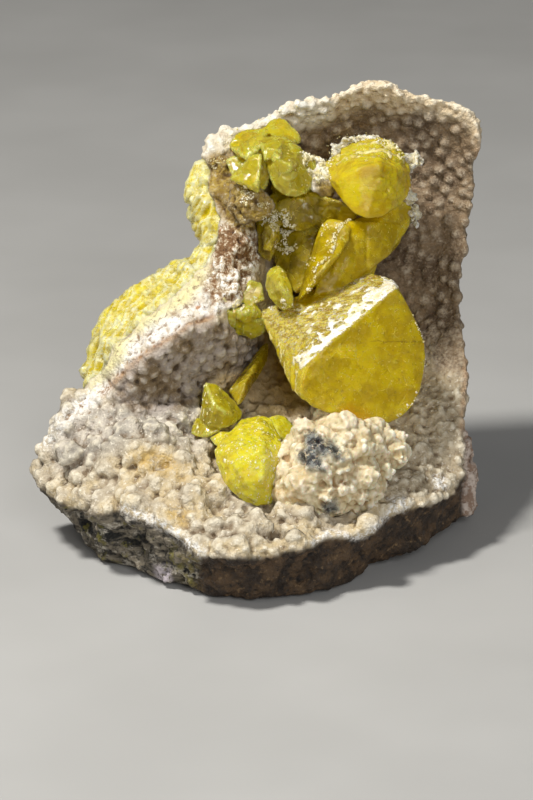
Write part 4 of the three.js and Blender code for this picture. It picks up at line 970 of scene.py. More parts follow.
def sulfur_material(
    name, body, pale, deep, transmission, absorb, density, rough, streaks,
    pale_share, grain_size=0.35, bump=0.08, spec=0.3, flaws_and_highlights=0.3, cell=2.4, tilt=0.5,
    coat=0.3, scratch=0.3, pits=0.3, subsurface=0.6, spread=(1.0, 0.82, 0.08), ior=1.55, edge_highlight=0.45,
):
    """Resinous, translucent sulfur. `streaks` stretches the growth texture across the leaning frame."""
    s = Shader(name)
    bent = s.warped(1.8, 0.55)
    cloud = s.noise(3.2, 3.0, 0.6)
    growth = s.noise(1.0, 4.0, 0.65, s.stretch(streaks[0], streaks[1], s.leaning))
    fine = s.noise(grain_size, 3.0, 0.65)
    # flaws inside: blocks of different depth and tilt, each lit to its own brightness as painted inner reflection, with
    # bright partings between some of them as painted highlight
    height_1, grey_1 = s.facets(cell, bent)
    height_2, grey_2 = s.facets(cell * 0.42, s.warped(0.9, 0.25))
    parting_highlight = s.span(s.cells(cell, "DISTANCE_TO_EDGE", vector=bent), 0.035, 0.0)
    parting_highlight = s.math("MULTIPLY", parting_highlight, s.span(s.noise(1.6, 2.0), 0.46, 0.6))
    # hairline scratches and small pits on the surface
    hair = s.span(s.cells(0.75, "DISTANCE_TO_EDGE", vector=s.warped(0.5, 0.3)), 0.055, 0.01)
    hair = s.math("MULTIPLY", hair, s.span(s.noise(0.55, 3.0, 0.7), 0.52, 0.62))
    hair = s.math("MULTIPLY", hair, s.span(cloud, 0.40, 0.58, 0.35, 1.0))
    pit = s.math("MULTIPLY", s.span(s.noise(0.32, 3.0, 0.6), 0.60, 0.70), s.span(s.noise(1.1, 2.0), 0.42, 0.6))
    grey = s.math("ADD", s.math("MULTIPLY", grey_1, 0.6), s.math("MULTIPLY", grey_2, 0.4))
    depth = s.math("ADD", s.math("MULTIPLY", s.span(cloud, 0.3, 0.7), 1 - flaws_and_highlights), s.math("MULTIPLY", grey, flaws_and_highlights))
    colour = s.mix(s.span(depth, 0.25, 0.72), deep, body)
    colour = s.mix(s.math("MULTIPLY", s.attr("warm"), 0.8), colour, s.mix(s.span(depth, 0.2, 0.7), (0.84, 0.60, 0.0), (0.97, 0.76, 0.0)))
    # painted glow: orange where light glows through the crystal's lower part
    colour = s.mix(s.math("MULTIPLY", s.attr("amber_glow"), s.span(cloud, 0.3, 0.6, 0.3, 0.8)), colour, (0.84, 0.42, 0.0))
    # darker olive: partly the crystal's own tone, partly painted shade
    colour = s.mix(s.math("MULTIPLY", s.attr("dim"), 0.92), colour, s.mix(s.span(depth, 0.3, 0.65), (0.46, 0.32, 0.0), (0.68, 0.50, 0.0)))
    edge = s.attr("edge")
    # painted shade: hollows between faces darken to the deep colour
    colour = s.mix(s.math("MULTIPLY", s.span(edge, -0.1, -0.7), 0.6), colour, deep)
    colour = s.mix(s.math("MULTIPLY", pit, pits), colour, tuple(0.42 * x for x in deep))
    colour = s.mix(s.math("MULTIPLY", s.span(s.noise(1.3, 4.0, 0.7), 0.56, 0.68), pits), colour, tuple(0.72 * x for x in deep))
    # pale growth streaks, scratches and frost are the crystal's own; the pale convex edges and bright partings are
    # painted highlight
    pale_marks_and_highlight = s.math("MULTIPLY", s.span(growth, 0.5, 0.72), pale_share, clamp=True)
    pale_marks_and_highlight = s.math("ADD", pale_marks_and_highlight, s.math("MULTIPLY", s.span(edge, 0.15, 0.8), edge_highlight), clamp=True)
    pale_marks_and_highlight = s.math("ADD", pale_marks_and_highlight, s.math("MULTIPLY", parting_highlight, min(1.0, flaws_and_highlights * 1.4)), clamp=True)
    pale_marks_and_highlight = s.math("ADD", pale_marks_and_highlight, s.math("MULTIPLY", hair, scratch), clamp=True)
    pale_marks_and_highlight = s.math("ADD", pale_marks_and_highlight, s.math("MULTIPLY", s.attr("frost"), s.span(fine, 0.35, 0.6)), clamp=True)
    colour = s.mix(pale_marks_and_highlight, colour, pale)
    worked = s.noise(0.8, 4.0, 0.7, s.stretch((0.42, 1.6, 1.0), (0, 0, -0.69), s.leaning))
    rows = s.noise(0.5, 4.0, 0.8, s.stretch((0.6, 1.7, 1.0), (0, 0, -0.69), s.leaning))
    # painted highlight on the top face: the pale glaze and the white rows stand in for its reflection, the brown pits
    # between are its own; on the left corner the same mask paints pale frost
    colour = s.mix(s.math("MULTIPLY", s.attr("sheen_and_frost"), 0.35), colour, (0.94, 0.84, 0.30))
    colour = s.mix(s.math("MULTIPLY", s.attr("sheen_and_frost"), s.span(worked, 0.47, 0.55, 0.0, 0.85)), colour, (0.40, 0.26, 0.01))
    colour = s.mix(s.math("MULTIPLY", s.attr("sheen_and_frost"), s.span(rows, 0.56, 0.60)), colour, (0.92, 0.88, 0.70))
    relief = s.math("ADD", s.math("MULTIPLY", growth, 1.0), s.math("MULTIPLY", fine, 0.5))
    relief = s.math("SUBTRACT", relief, s.math("MULTIPLY", pit, 0.6))
    relief = s.math("ADD", relief, s.math("MULTIPLY", hair, 0.8))
    relief = s.math("ADD", relief, s.math("MULTIPLY", s.math("MULTIPLY", s.attr("sheen_and_frost"), worked), -3.0))
    if name == "sulfur_golden":
        # one fine crack across the big face
        u, up, out = s.axes(s.leaning)
        line = s.math("ADD", up, s.math("MULTIPLY", s.noise(1.6, 2.0, 0.5, s.stretch((1, 0, 0), (0, 0, 0), s.leaning)), 0.9))
        line = s.span(s.math("ABSOLUTE", s.math("SUBTRACT", line, 9.35)), 0.10, 0.02)
        reach = s.math("MULTIPLY", s.span(u, 15.2, 16.2), s.span(u, 24.6, 24.0))
        line = s.math("MULTIPLY", s.math("MULTIPLY", line, reach), s.span(fine, 0.40, 0.52))
        line = s.math("MULTIPLY", line, s.span(out, 4.0, 6.0))
        colour = s.mix(s.math("MULTIPLY", line, 0.6), colour, (0.42, 0.25, 0.01))
        relief = s.math("SUBTRACT", relief, s.math("MULTIPLY", line, 1.5))
    normal = s.bump(relief, bump, 0.8)
    tilted = s.math("ADD", height_1, s.math("MULTIPLY", height_2, 0.8))
    normal = s.bump(tilted, tilt, 1.0, normal)
    roughness = s.math("ADD", s.span(s.noise(0.9, 3.0, 0.6), 0.35, 0.7, rough[0], rough[1]), s.math("MULTIPLY", pale_marks_and_highlight, 0.2), clamp=True)
    s.finish(
        colour, roughness, normal, Transmission_Weight=transmission, IOR=ior, Specular_IOR_Level=spec,
        Coat_Weight=coat, Coat_Roughness=0.06, Coat_IOR=1.5,
        Subsurface_Weight=subsurface, Subsurface_Radius=spread, Subsurface_Scale=0.0014,
    )
    s.link(normal, s.bsdf.inputs["Coat Normal"])
    volume = s.t.nodes.new("ShaderNodeVolumeAbsorption")
    volume.inputs["Color"].default_value = (*absorb, 1.0)
    volume.inputs["Density"].default_value = density
    s.link(volume.outputs[0], s.out.inputs["Volume"])
    return s.mat


def frost_material(name, low, high, rough=(0.12, 0.35), spec=0.6, fine=0.25, subsurface=0.2, holes=False):
    """Thin opaque rind: white or cream, waxy to glossy; the white ones also paint highlights."""
    s = Shader(name)
    c = s.mix(s.span(s.noise(1.1, 4.0, 0.7), 0.38, 0.6), low, high)
    c = s.mix(s.math("MULTIPLY", s.span(s.noise(fine, 3.0, 0.7), 0.52, 0.40), 0.5), c, low)
    c = s.mix(s.span(s.attr("rise"), 0.5, 0.0, 0.0, 0.6), c, tuple(0.72 * x for x in low))
    if holes:
        row = s.noise(0.36, 3.0, 0.75, s.stretch((0.5, 1.5, 1.0), (0, 0, -0.69), s.leaning))
        c = s.mix(s.span(row, 0.575, 0.635), c, (0.38, 0.25, 0.01))
    relief = s.math("ADD", s.noise(0.5, 3.0, 0.65), s.math("MULTIPLY", s.noise(0.16, 2.0), 0.5))
    return s.finish(c, s.span(s.noise(0.5, 3.0), 0.35, 0.65, *rough), s.bump(relief, 0.10, 0.9), Specular_IOR_Level=spec, IOR=1.6, Subsurface_Weight=subsurface, Subsurface_Radius=(1.0, 0.8, 0.4), Subsurface_Scale=0.0008)


STONE = stone_material()


# ---------------------------------------------------------------- the stone's pieces
def thin_mesh(ob, ratio):
    """Fewer triangles on a side that carries no fine relief."""
    mod = ob.modifiers.new("thin", "DECIMATE")
    mod.ratio = ratio
    dg = bpy.context.evaluated_depsgraph_get()
    lighter = bpy.data.meshes.new_from_object(ob.evaluated_get(dg), preserve_all_data_layers=True, depsgraph=dg)
    ob.modifiers.clear()
    ob.data = lighter


def split_stone():
    """The skin is cut into three neighbouring sheets to keep each one light, and the hidden sides are thinned."""
    centre = v[f].mean(1)
    nf = n[f].mean(1)
    hidden = (show[f].mean(1) < 0.02) & ((nf[:, 2] < 0.0) | (height(centre) < 0.4))
    lower = ~hidden & (centre[:, 1] < -4.0)
    upper = ~hidden & ~lower
    # the thinned sheet tucks a little way in under its neighbours
    under = hidden.copy()
    for _ in range(3):
        near = np.zeros(len(v), bool)
        near[f[under].ravel()] = True
        under = near[f].any(axis=1)
    tucked = v - n * 0.05 * (~np.isin(np.arange(len(v)), np.unique(f[hidden])))[:, None]
    made = []
    for label, pick, place in (("druse_floor", lower, v), ("druse_wall", upper, v), ("rock_back", under, tucked)):
        ff = f[pick]
        used, back = np.unique(ff.ravel(), return_inverse=True)
        ff = back.reshape(-1, 4)
        attributes = {k: x[used] for k, x in tri_zone.items()}
        ob = piece(label, place[used], ff, STONE, attributes=attributes)
        if label == "rock_back":
            thin_mesh(ob, 0.40)
        made.append(ob)
        print(label, len(ff) * 2, "triangles")
    return made


STONE_PIECES = split_stone()
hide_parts("matrix")


# ---------------------------------------------------------------- crystals
CV = 0.25
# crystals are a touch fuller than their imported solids, which closes the gaps kept between those
INFLATE = 0.10


def facet_round(name, voxel, times, sharp=None, sharp_width=1.6, extras=()):
    """A crystal with its small facets eased into each other, except along lines that stay crisp."""
    v, f = join([cad_mesh(name)] + [closed_hull(e) for e in extras])
    v, f = remesh(v, f, voxel)
    spread = Spread(f, len(v))
    share = np.ones(len(v))
    for a, b in sharp or []:
        a, b = np.array(a), np.array(b)
        t = np.clip(((v - a) @ (b - a)) / ((b - a) @ (b - a)), 0, 1)
        d = np.linalg.norm(v - (a + t[:, None] * (b - a)), axis=1)
        share = np.minimum(share, step(d, 0.5, sharp_width))
    v = spread.smooth(v, times, share)
    v = spread.melt(v, 2, share)
    return v, f, spread


def sheet(name, base, keep, thick, material, replaces=()):
    """A thin rind on part of a crystal's face, or a white sheet painting a highlight: closed, with ragged edges and
    holes. `keep` and `thick` are per vertex.
    """
    v, f = base
    n = normals(v, f)
    f = f[(keep > 0.5)[f].all(axis=1)]
    used, f = np.unique(f, return_inverse=True)
    f = f.reshape(-1, 4)
    m = len(used)
    e = f[:, [0, 1, 1, 2, 2, 3, 3, 0]].reshape(-1, 2)
    key = np.sort(e, axis=1)
    key = key[:, 0].astype(np.int64) * m + key[:, 1]
    _, first, count = np.unique(key, return_index=True, return_counts=True)
    rim = e[first[count == 1]]
    lift = thick[used].copy()
    lift[np.unique(rim)] *= 0.35
    outer = v[used] + n[used] * lift[:, None]
    inner = v[used] - n[used] * 0.12
    wall = np.stack([rim[:, 1], rim[:, 0], rim[:, 0] + m, rim[:, 1] + m], 1)
    faces = np.concatenate([f, f[:, ::-1] + m, wall])
    rise = np.concatenate([np.where(np.isin(np.arange(m), rim), 0.0, 1.0), np.zeros(m)])
    ob = piece(name, np.concatenate([outer, inner]), faces, material, replaces, {"rise": rise})
    print(name, len(faces) * 2)
    return ob


def crystal(name, material, times=10, relief=None, frost=None, sharp=None, voxel=None, label=None, extras=(), more=None):
    v, f, spread = facet_round(name, voxel or CV, times, sharp, extras=extras)
    n = normals(v, f)
    if relief is not None:
        v = v + n * relief(v, n)[:, None]
        n = normals(v, f)
    values = np.zeros(len(v)) if frost is None else frost(v, n)
    v = v + n * INFLATE
    # how far each point stands out of its neighbours: the sulfur material turns it into painted highlight on convex
    # edges and painted shade in hollows
    spine = np.einsum("ij,ij->i", v - spread.blur(v, 6), n)
    shades = {"edge": np.clip(spine / 0.12, -1, 1), "frost": np.clip(values, 0, 1), "amber_glow": np.zeros(len(v)), "sheen_and_frost": np.zeros(len(v)), "warm": np.zeros(len(v)), "dim": np.zeros(len(v))}
    for key, rule in (more or {}).items():
        shades[key] = np.clip(rule(v, n), 0, 1)
    ob = piece(label or "crystal_" + name.replace("sulfur_", ""), v, f, material, (name,), shades)
    print(ob.name, len(f) * 2)
    return ob, v, f


YELLOW = ((0.985, 0.940, 0.01), 80.0)
M_MAIN = sulfur_material("sulfur_golden", (0.92, 0.69, 0.0), (0.96, 0.87, 0.20), (0.72, 0.51, 0.0), 0.42, *YELLOW, (0.10, 0.26), ((0.5, 2.2, 1.0), (0, 0, 0.66)), 0.04, bump=0.12, spec=0.10, flaws_and_highlights=0.26, cell=2.6, tilt=0.16, coat=0.12, scratch=1.0, pits=0.8, edge_highlight=0.12)
M_UPPER = sulfur_material("sulfur_glossy", (0.95, 0.74, 0.0), (0.94, 0.84, 0.12), (0.78, 0.55, 0.0), 0.45, *YELLOW, (0.05, 0.18), ((0.5, 2.2, 1.0), (0, 0, 0.2)), 0.10, bump=0.15, spec=0.14, flaws_and_highlights=0.35, cell=2.4, tilt=0.24, coat=0.2, scratch=0.6, pits=0.3, edge_highlight=0.08)
M_BRIGHT = sulfur_material("sulfur_bright", (0.99, 0.82, 0.0), (0.98, 0.94, 0.26), (0.92, 0.71, 0.0), 0.30, *YELLOW, (0.04, 0.15), ((1.6, 0.9, 1.0), (0, 0, 0.3)), 0.3, bump=0.22, spec=0.3, flaws_and_highlights=0.35, cell=1.3, tilt=0.55, coat=0.6, scratch=0.5, pits=0.1)
M_GREEN = sulfur_material("sulfur_lemon", (0.94, 0.78, 0.0), (0.97, 0.90, 0.16), (0.62, 0.49, 0.0), 0.58, (0.985, 0.960, 0.03), 60.0, (0.03, 0.12), ((1.0, 1.6, 1.0), (0, 0, 0.3)), 0.12, spec=0.22, flaws_and_highlights=0.85, cell=2.0, tilt=0.34, coat=0.55, scratch=0.8, pits=0.2, edge_highlight=0.95)
M_PALE = sulfur_material("sulfur_pale", (0.92, 0.76, 0.03), (0.98, 0.94, 0.56), (0.74, 0.57, 0.0), 0.30, (0.98, 0.95, 0.15), 90.0, (0.12, 0.35), ((0.4, 1.8, 1.0), (0, 0, -0.5)), 0.7, bump=0.22, flaws_and_highlights=0.5, cell=1.8, tilt=0.5, coat=0.3, subsurface=0.3, spread=(1.0, 0.9, 0.4))
M_FROST = sulfur_material("sulfur_frosted", (0.88, 0.76, 0.44), (0.97, 0.93, 0.80), (0.70, 0.56, 0.26), 0.22, (0.98, 0.94, 0.7), 40.0, (0.12, 0.3), ((0.8, 1.2, 1.0), (0, 0, 0)), 0.9, bump=0.25, flaws_and_highlights=0.5, cell=1.2, tilt=0.8, coat=0.5, subsurface=0.3, spread=(1.0, 0.9, 0.6))
M_DARK = sulfur_material("sulfur_olive", (0.66, 0.49, 0.0), (0.72, 0.58, 0.06), (0.36, 0.25, 0.0), 0.48, (0.97, 0.92, 0.05), 80.0, (0.06, 0.22), ((1.0, 1.0, 1.0), (0, 0, 0)), 0.2, flaws_and_highlights=0.6, cell=2.2, tilt=0.3, coat=0.3, scratch=0.4)
# white sheet material for the top face's painted highlight
M_TOP_HIGHLIGHT = frost_material("white_top_highlight", srgb(226, 212, 166), srgb(255, 253, 244), holes=True)
# white flake material for painted sparkle highlights
M_SPARK = frost_material("sparkle_highlight", srgb(248, 238, 150), srgb(255, 254, 236), (0.05, 0.2), 0.8)
M_CREAM_RIND = frost_material("frost_cream", srgb(206, 186, 96), srgb(236, 226, 168), (0.2, 0.5), 0.5)

EDGE_A, EDGE_B = (8.5, 7.7, 17), (19.7, 17.0, 13)


EDGE_DIR = (np.array(EDGE_B) - np.array(EDGE_A))[:2]
EDGE_DIR = EDGE_DIR / np.linalg.norm(EDGE_DIR)
ACROSS = np.array([-EDGE_DIR[1], EDGE_DIR[0]])


def chips(v, size, seed):
    """Small faces at their own depths, like a chipped or mosaic surface: -0.5..0.5."""
    c1, c2, who = worley(v, size, seed)
    return (who - 0.5) * step(c2 - c1, 0.0, 0.22)


def edge_coordinates(v):
    """Along and above the crystal's straight edge, in mm."""
    d = v[:, :2] - np.array(EDGE_A)[:2]
    return d @ EDGE_DIR, d @ ACROSS


def body_only(v):
    return 1 - np.clip(inside(v, LOBE, 0.5) + inside(v, SADDLE, 0.5), 0, 1)


def main_top(v, n):
    t, h = edge_coordinates(v)
    return step(h, 0.0, 0.4) * step(n[:, 1] + 0.3 * n[:, 2], 0.35, 0.6) * (v[:, 1] < 20) * body_only(v)


def main_left(v, n):
    t, h = edge_coordinates(v)
    return step(-n[:, 0], 0.25, 0.6) * (1 - main_top(v, n)) * body_only(v)


def main_relief(v, n):
    up = main_top(v, n)
    t, h = edge_coordinates(v)
    p = np.column_stack([t * 0.45, h * 1.3, v[:, 2] * 0.3])
    c1, c2, who = worley(p, 0.8, 201)
    pits = step(c1, 0.5, 0.2) * step(fbm(p, 1.6, 202, 2), -0.1, 0.35)
    d = -0.30 * pits * up - up * 0.18 * step(fbm(np.column_stack([t * 0.15, h, 0 * h]), 1.3, 206, 2), 0.0, 0.2)
    d += 0.10 * fbm(v, 5.0, 203, 2) + 0.045 * fbm(v, 0.9, 204, 2)
    d += main_left(v, n) * 0.16 * vnoise(v * [2.2, 0.35, 1], 1.2, 205)
    d += np.clip(inside(v, LOBE, 0.8) + inside(v, SADDLE, 0.8), 0, 1) * (0.45 * chips(v * [1.0, 0.6, 1], 4.2, 208) + 0.05 * chips(v, 1.2, 209))
    return d


def main_frost(v, n):
    t, h = edge_coordinates(v)
    left = main_left(v, n)
    streak = fbm(v * [1.6, 0.35, 1], 1.4, 207, 3)
    # on the top face this pale frost is partly painted highlight; the left streaks and the rim are pale frost
    return left * (0.45 + 0.9 * streak) + main_top(v, n) * 0.4 + 0.25 * along(v, MAIN_RIM, 1.0, 0.8) * step(fbm(v, 0.9, 212, 2), -0.1, 0.3)


SADDLE = [(4.6, 15.2), (8.0, 27.0), (12.2, 28.8), (20.7, 31.6), (23.5, 30.4), (22.9, 26.0), (20.1, 22.0), (17.0, 19.8), (12.2, 18.3), (9.2, 15.8), (6.1, 14.3)]
LOBE = [(7.1, 27.3), (9.8, 29.1), (12.6, 27.9), (12.9, 24.8), (10.5, 21.1), (8.3, 16.7), (6.4, 14.6), (4.0, 14.6), (4.6, 18.6), (5.8, 23.3)]
MAIN_RIM = [(20.4, 17.1), (22.6, 13.6), (24.4, 9.0), (24.7, 6.2), (24.1, 1.9), (22.2, -1.2), (18.8, -3.6), (15.3, -3.4), (11.1, -1.9)]
AMBER = [(11.1, -1.2), (12.9, -0.6), (15.7, -1.9), (16.4, -3.7), (12.9, -3.7), (11.1, -2.8)]
main_piece, V_MAIN, F_MAIN = crystal(
    "sulfur_main", M_MAIN, 14, main_relief, main_frost, [(EDGE_A, EDGE_B)],
    more={
        # the first mask paints the top face's highlight and the pale frost of the left corner, the second a painted
        # glow, the third a darker olive that is partly own tone and partly painted shade
        "sheen_and_frost": lambda v, n: main_top(v, n) + 0.8 * main_left(v, n) * inside(v, [(-0.7, 14.9), (5.2, 14.9), (8.9, 8.5), (6.4, 8.5), (2.1, 10.1), (-0.4, 12.7)], 0.8),
        "amber_glow": lambda v, n: inside(v, AMBER, 1.2),
        "dim": lambda v, n: np.clip(0.45 * inside(v, SADDLE, 0.8) + 1.0 * inside(v, LOBE, 0.6), 0, 1),
    },
)


t0, h0 = edge_coordinates(V_MAIN)
N_MAIN = normals(V_MAIN, F_MAIN)
p0 = np.column_stack([t0 * 0.55, h0 * 1.5, V_MAIN[:, 2] * 0.3])
# white sheet painting the top face's highlight: whole near the crisp edge, eaten away in rows further up
cover = step(h0, -0.5, -0.2) * step(N_MAIN[:, 1] + 0.3 * N_MAIN[:, 2], 0.30, 0.50) * (V_MAIN[:, 1] < 20) * body_only(V_MAIN)
gone = 0.5 * fbm(p0, 1.0, 241, 3) + 0.8 * fbm(p0, 0.5, 242, 2) - 0.52 + 0.55 * step(h0, 0.8, 2.9) + 0.18 * step(h0, 2.9, 4.6) + 0.25 * step(t0, 1.0, -1.0)
sheet("top_face_painted_highlight", (V_MAIN, F_MAIN), (cover > 0.6) * (gone < 0.02) * 1.0, 0.10 + 0.05 * vnoise(V_MAIN, 1.0, 243), M_TOP_HIGHLIGHT)
# cream streaks down the left face
q0 = V_MAIN * [1.9, 0.42, 1.0]
bare = fbm(q0, 1.3, 244, 3) + 0.5 * fbm(V_MAIN, 0.5, 245, 2)
left0 = main_left(V_MAIN, N_MAIN) * (N_MAIN[:, 2] > 0.0) * (V_MAIN[:, 1] < 14.5)
sheet("rind_left_face", (V_MAIN, F_MAIN), (left0 > 0.6) * (bare > 0.16) * 1.0, 0.07 + 0.0 * t0, M_CREAM_RIND)


def terraces(direction, spacing, depth, seed, upto=None):
    d0 = np.array(direction, float)
    d0 /= np.linalg.norm(d0)

    def relief(v, n):
        t = v @ d0 + 0.5 * fbm(v, 2.5, seed, 2)
        saw = (t / spacing) % 1.0
        out = depth * (saw - 0.5) * (1 if upto is None else upto(v))
        return out + 0.05 * fbm(v, 0.8, seed + 1, 2) + 0.10 * fbm(v, 3.0, seed + 2, 2)

    return relief


UPPER_LINE = [(8.0, 34.7), (12.2, 36.3), (14.8, 36.3), (18.5, 36.6), (21.3, 36.0), (22.6, 34.7)]
UPPER_TOP = lambda v: step(v[:, 1] - np.interp(v[:, 0], [p[0] for p in UPPER_LINE], [p[1] for p in UPPER_LINE]), -0.2, 0.6)
UPPER_SIDE = [(16.4, 35.3), (20.1, 36.0), (22.2, 33.8), (21.9, 30.2), (19.5, 29.1), (17.3, 31.0)]


def upper_relief(v, n):
    top = UPPER_TOP(v)
    crest = 1 - 2.2 * np.abs(fbm(v * [0.4, 1.5, 0.9], 1.5, 221, 2))
    d = top * (0.45 * crest + 0.35 * chips(v * [0.6, 1.4, 1], 1.1, 222))
    d += inside(v, UPPER_SIDE, 1.0) * 0.45 * chips(v, 1.0, 223)
    return d + 0.12 * chips(v, 2.6, 224) + 0.14 * fbm(v, 3.0, 225, 2) + 0.04 * fbm(v, 0.8, 226, 2)


upper_piece, V_UPPER, F_UPPER = crystal(
    "sulfur_upper", M_UPPER, 5, upper_relief,
    lambda v, n: UPPER_TOP(v) * (0.35 + 0.6 * fbm(v * [0.4, 1.6, 1], 1.2, 226, 2)) + 0.15 * step(fbm(v, 2.2, 227, 3), 0.1, 0.4),
    extras=[[(8.9, 35.2, 3), (9.5, 36.5, 2), (11.4, 37.4, 2), (12.8, 34.9, 8), (11.3, 32.8, 8.5), (9.8, 33.8, 6), (10.2, 35.7, -6), (12.3, 33.6, -6)]],
)
N_UPPER = normals(V_UPPER, F_UPPER)
band = UPPER_TOP(V_UPPER) * (N_UPPER[:, 2] > -0.1)
torn = fbm(V_UPPER * [0.5, 1.5, 1.0], 1.2, 228, 3) + 0.5 * fbm(V_UPPER, 0.45, 229, 2)
UPPER_BACK = step(V_UPPER[:, 1] - np.interp(V_UPPER[:, 0], [p[0] for p in UPPER_LINE], [p[1] for p in UPPER_LINE]), 1.0, 3.2)
sheet("rind_upper", (V_UPPER, F_UPPER), (band > 0.6) * (torn > 0.12 - 0.22 * UPPER_BACK) * 1.0, 0.12 + 0.08 * vnoise(V_UPPER, 0.8, 230), M_CREAM_RIND)


def flaked(depth, size, seed):
    return lambda v, n: depth * chips(v * [1.0, 0.8, 1.0], size, seed) + 0.08 * fbm(v, 2.5, seed + 1, 2) + 0.03 * fbm(v, 0.7, seed + 2, 2)


_, V_UL, F_UL = crystal(
    "sulfur_upper_left", M_GREEN, 1, flaked(0.48, 1.9, 231), lambda v, n: 0.25 + 0.3 * fbm(v, 1.5, 232, 2),
    extras=[
        [(-6.3, 37.4, 2), (-3.6, 37.5, 3), (-0.7, 38.5, 4), (0.7, 36.2, 5), (0.2, 33.0, 4.5), (-0.7, 31.8, 4), (-3.2, 33.6, 3.5), (-5.5, 34.9, 3), (-4.9, 36.7, -5), (-0.7, 37.5, -5), (-1.3, 33.1, -4)],
        [(3.9, 39.2, 4), (5.8, 38.2, 4.5), (7.3, 37.3, 4), (7.9, 35.8, 4), (7.5, 33.9, 4.5), (6.4, 32.3, 5), (5.1, 31.6, 6.5), (3.9, 34.9, 9), (5.2, 37.4, -4), (7.1, 34.0, -4)],
        [(-0.7, 40.0, 5), (0.5, 40.7, 4), (2.7, 40.5, 4.5), (2.1, 37.0, 9.5), (-0.4, 36.5, 8), (-0.1, 38.9, -2), (2.7, 38.9, -2)],
    ],
    # the first mask darkens to olive, partly own tone and partly painted shade; the second warms the tone
    more={"dim": lambda v, n: 0.30 * inside(v, [(-0.7, 37.8), (0.2, 40.6), (2.7, 40.3), (4.6, 38.8), (7.7, 37.2), (8.0, 34.4), (6.4, 31.9), (4.9, 31.0), (2.4, 31.6), (0.9, 33.5)], 0.5), "warm": lambda v, n: inside(v, [(-6.9, 38.8), (-5.3, 42.2), (-0.7, 43.4), (2.4, 44.7), (5.8, 40.3), (4.0, 39.4), (0.2, 40.9), (-1.0, 38.4), (-3.2, 36.6), (-6.6, 34.7)], 0.5)},
)
crystal("sulfur_wing", M_GREEN, 3, flaked(0.22, 1.6, 241), lambda v, n: 0.1 + 0 * v[:, 0], voxel=0.22)
crystal(
    "sulfur_plate", M_DARK, 4, flaked(0.35, 2.0, 251), lambda v, n: 0.15 + 0.35 * step(fbm(v, 1.5, 252, 2), 0.1, 0.5),
    extras=[
        [(-0.7, 25.4, 2), (-0.1, 26.9, 3), (0.8, 27.5, 3.5), (1.5, 25.5, 3), (0.7, 22.7, 3), (-0.5, 23.2, 2.5), (-0.1, 25.3, -6), (0.9, 25.0, -6)],
        [(1.8, 30.9, 2), (5.2, 31.4, 2.5), (7.7, 30.0, 1.5), (8.0, 27.2, 1.5), (5.2, 26.0, 1), (2.4, 26.9, 1), (2.9, 30.6, -8), (6.8, 28.2, -8)],
        [(-0.7, 31.6, 0), (1.5, 31.9, 1), (2.2, 25.1, 1), (0.5, 21.4, 0.5), (-1.3, 22.9, 0), (-1.6, 28.3, -1), (-0.1, 29.8, -8), (0.2, 23.5, -8)],
        [(0.5, 33.5, 0), (5.2, 33.1, 1), (7.2, 33.1, 1.5), (7.0, 30.0, 1.5), (1.5, 29.7, 1.5), (2.1, 32.9, -8), (6.5, 32.0, -8)],
        [(5.8, 32.3, 2.5), (7.0, 32.1, 3), (9.6, 31.1, 4.8), (12.4, 30.2, 4.8), (14.6, 28.7, 4.2), (11.4, 26.3, 1.5), (8.6, 26.0, 1), (6.4, 29.1, 1.5), (6.8, 31.4, -8), (11.5, 27.9, -8)],
    ],
)
_, V_TIP, F_TIP = crystal("sulfur_tip", M_GREEN, 5, flaked(0.22, 1.6, 261), lambda v, n: 0.35 + 0 * v[:, 0], voxel=0.22)
_, V_UNDER, F_UNDER = crystal(
    "sulfur_under_ridge", M_GREEN, 2, flaked(0.28, 1.5, 271), lambda v, n: 0.3 + 0.2 * fbm(v, 1.2, 272, 2), voxel=0.22,
    extras=[
        [(-4.1, 16.4, 3), (-2.5, 18.5, 3.5), (-0.7, 18.0, 3.5), (-0.4, 15.4, 4.5), (-2.5, 14.5, 5), (-4.1, 15.1, 4.5), (-2.3, 17.2, -5)],
        [(-7.8, 12.9, 5), (-6.2, 14.0, 6), (-4.7, 13.5, 6.5), (-4.7, 11.1, 5), (-6.8, 11.4, 5), (-6.3, 12.8, -3)],
        [(-3.5, 12.0, 5.5), (-1.6, 12.3, 5.5), (-0.4, 12.6, 5), (-0.2, 10.5, 4), (-2.2, 9.4, 3), (-3.8, 10.2, 4), (-2.3, 11.2, -4)],
    ],
)
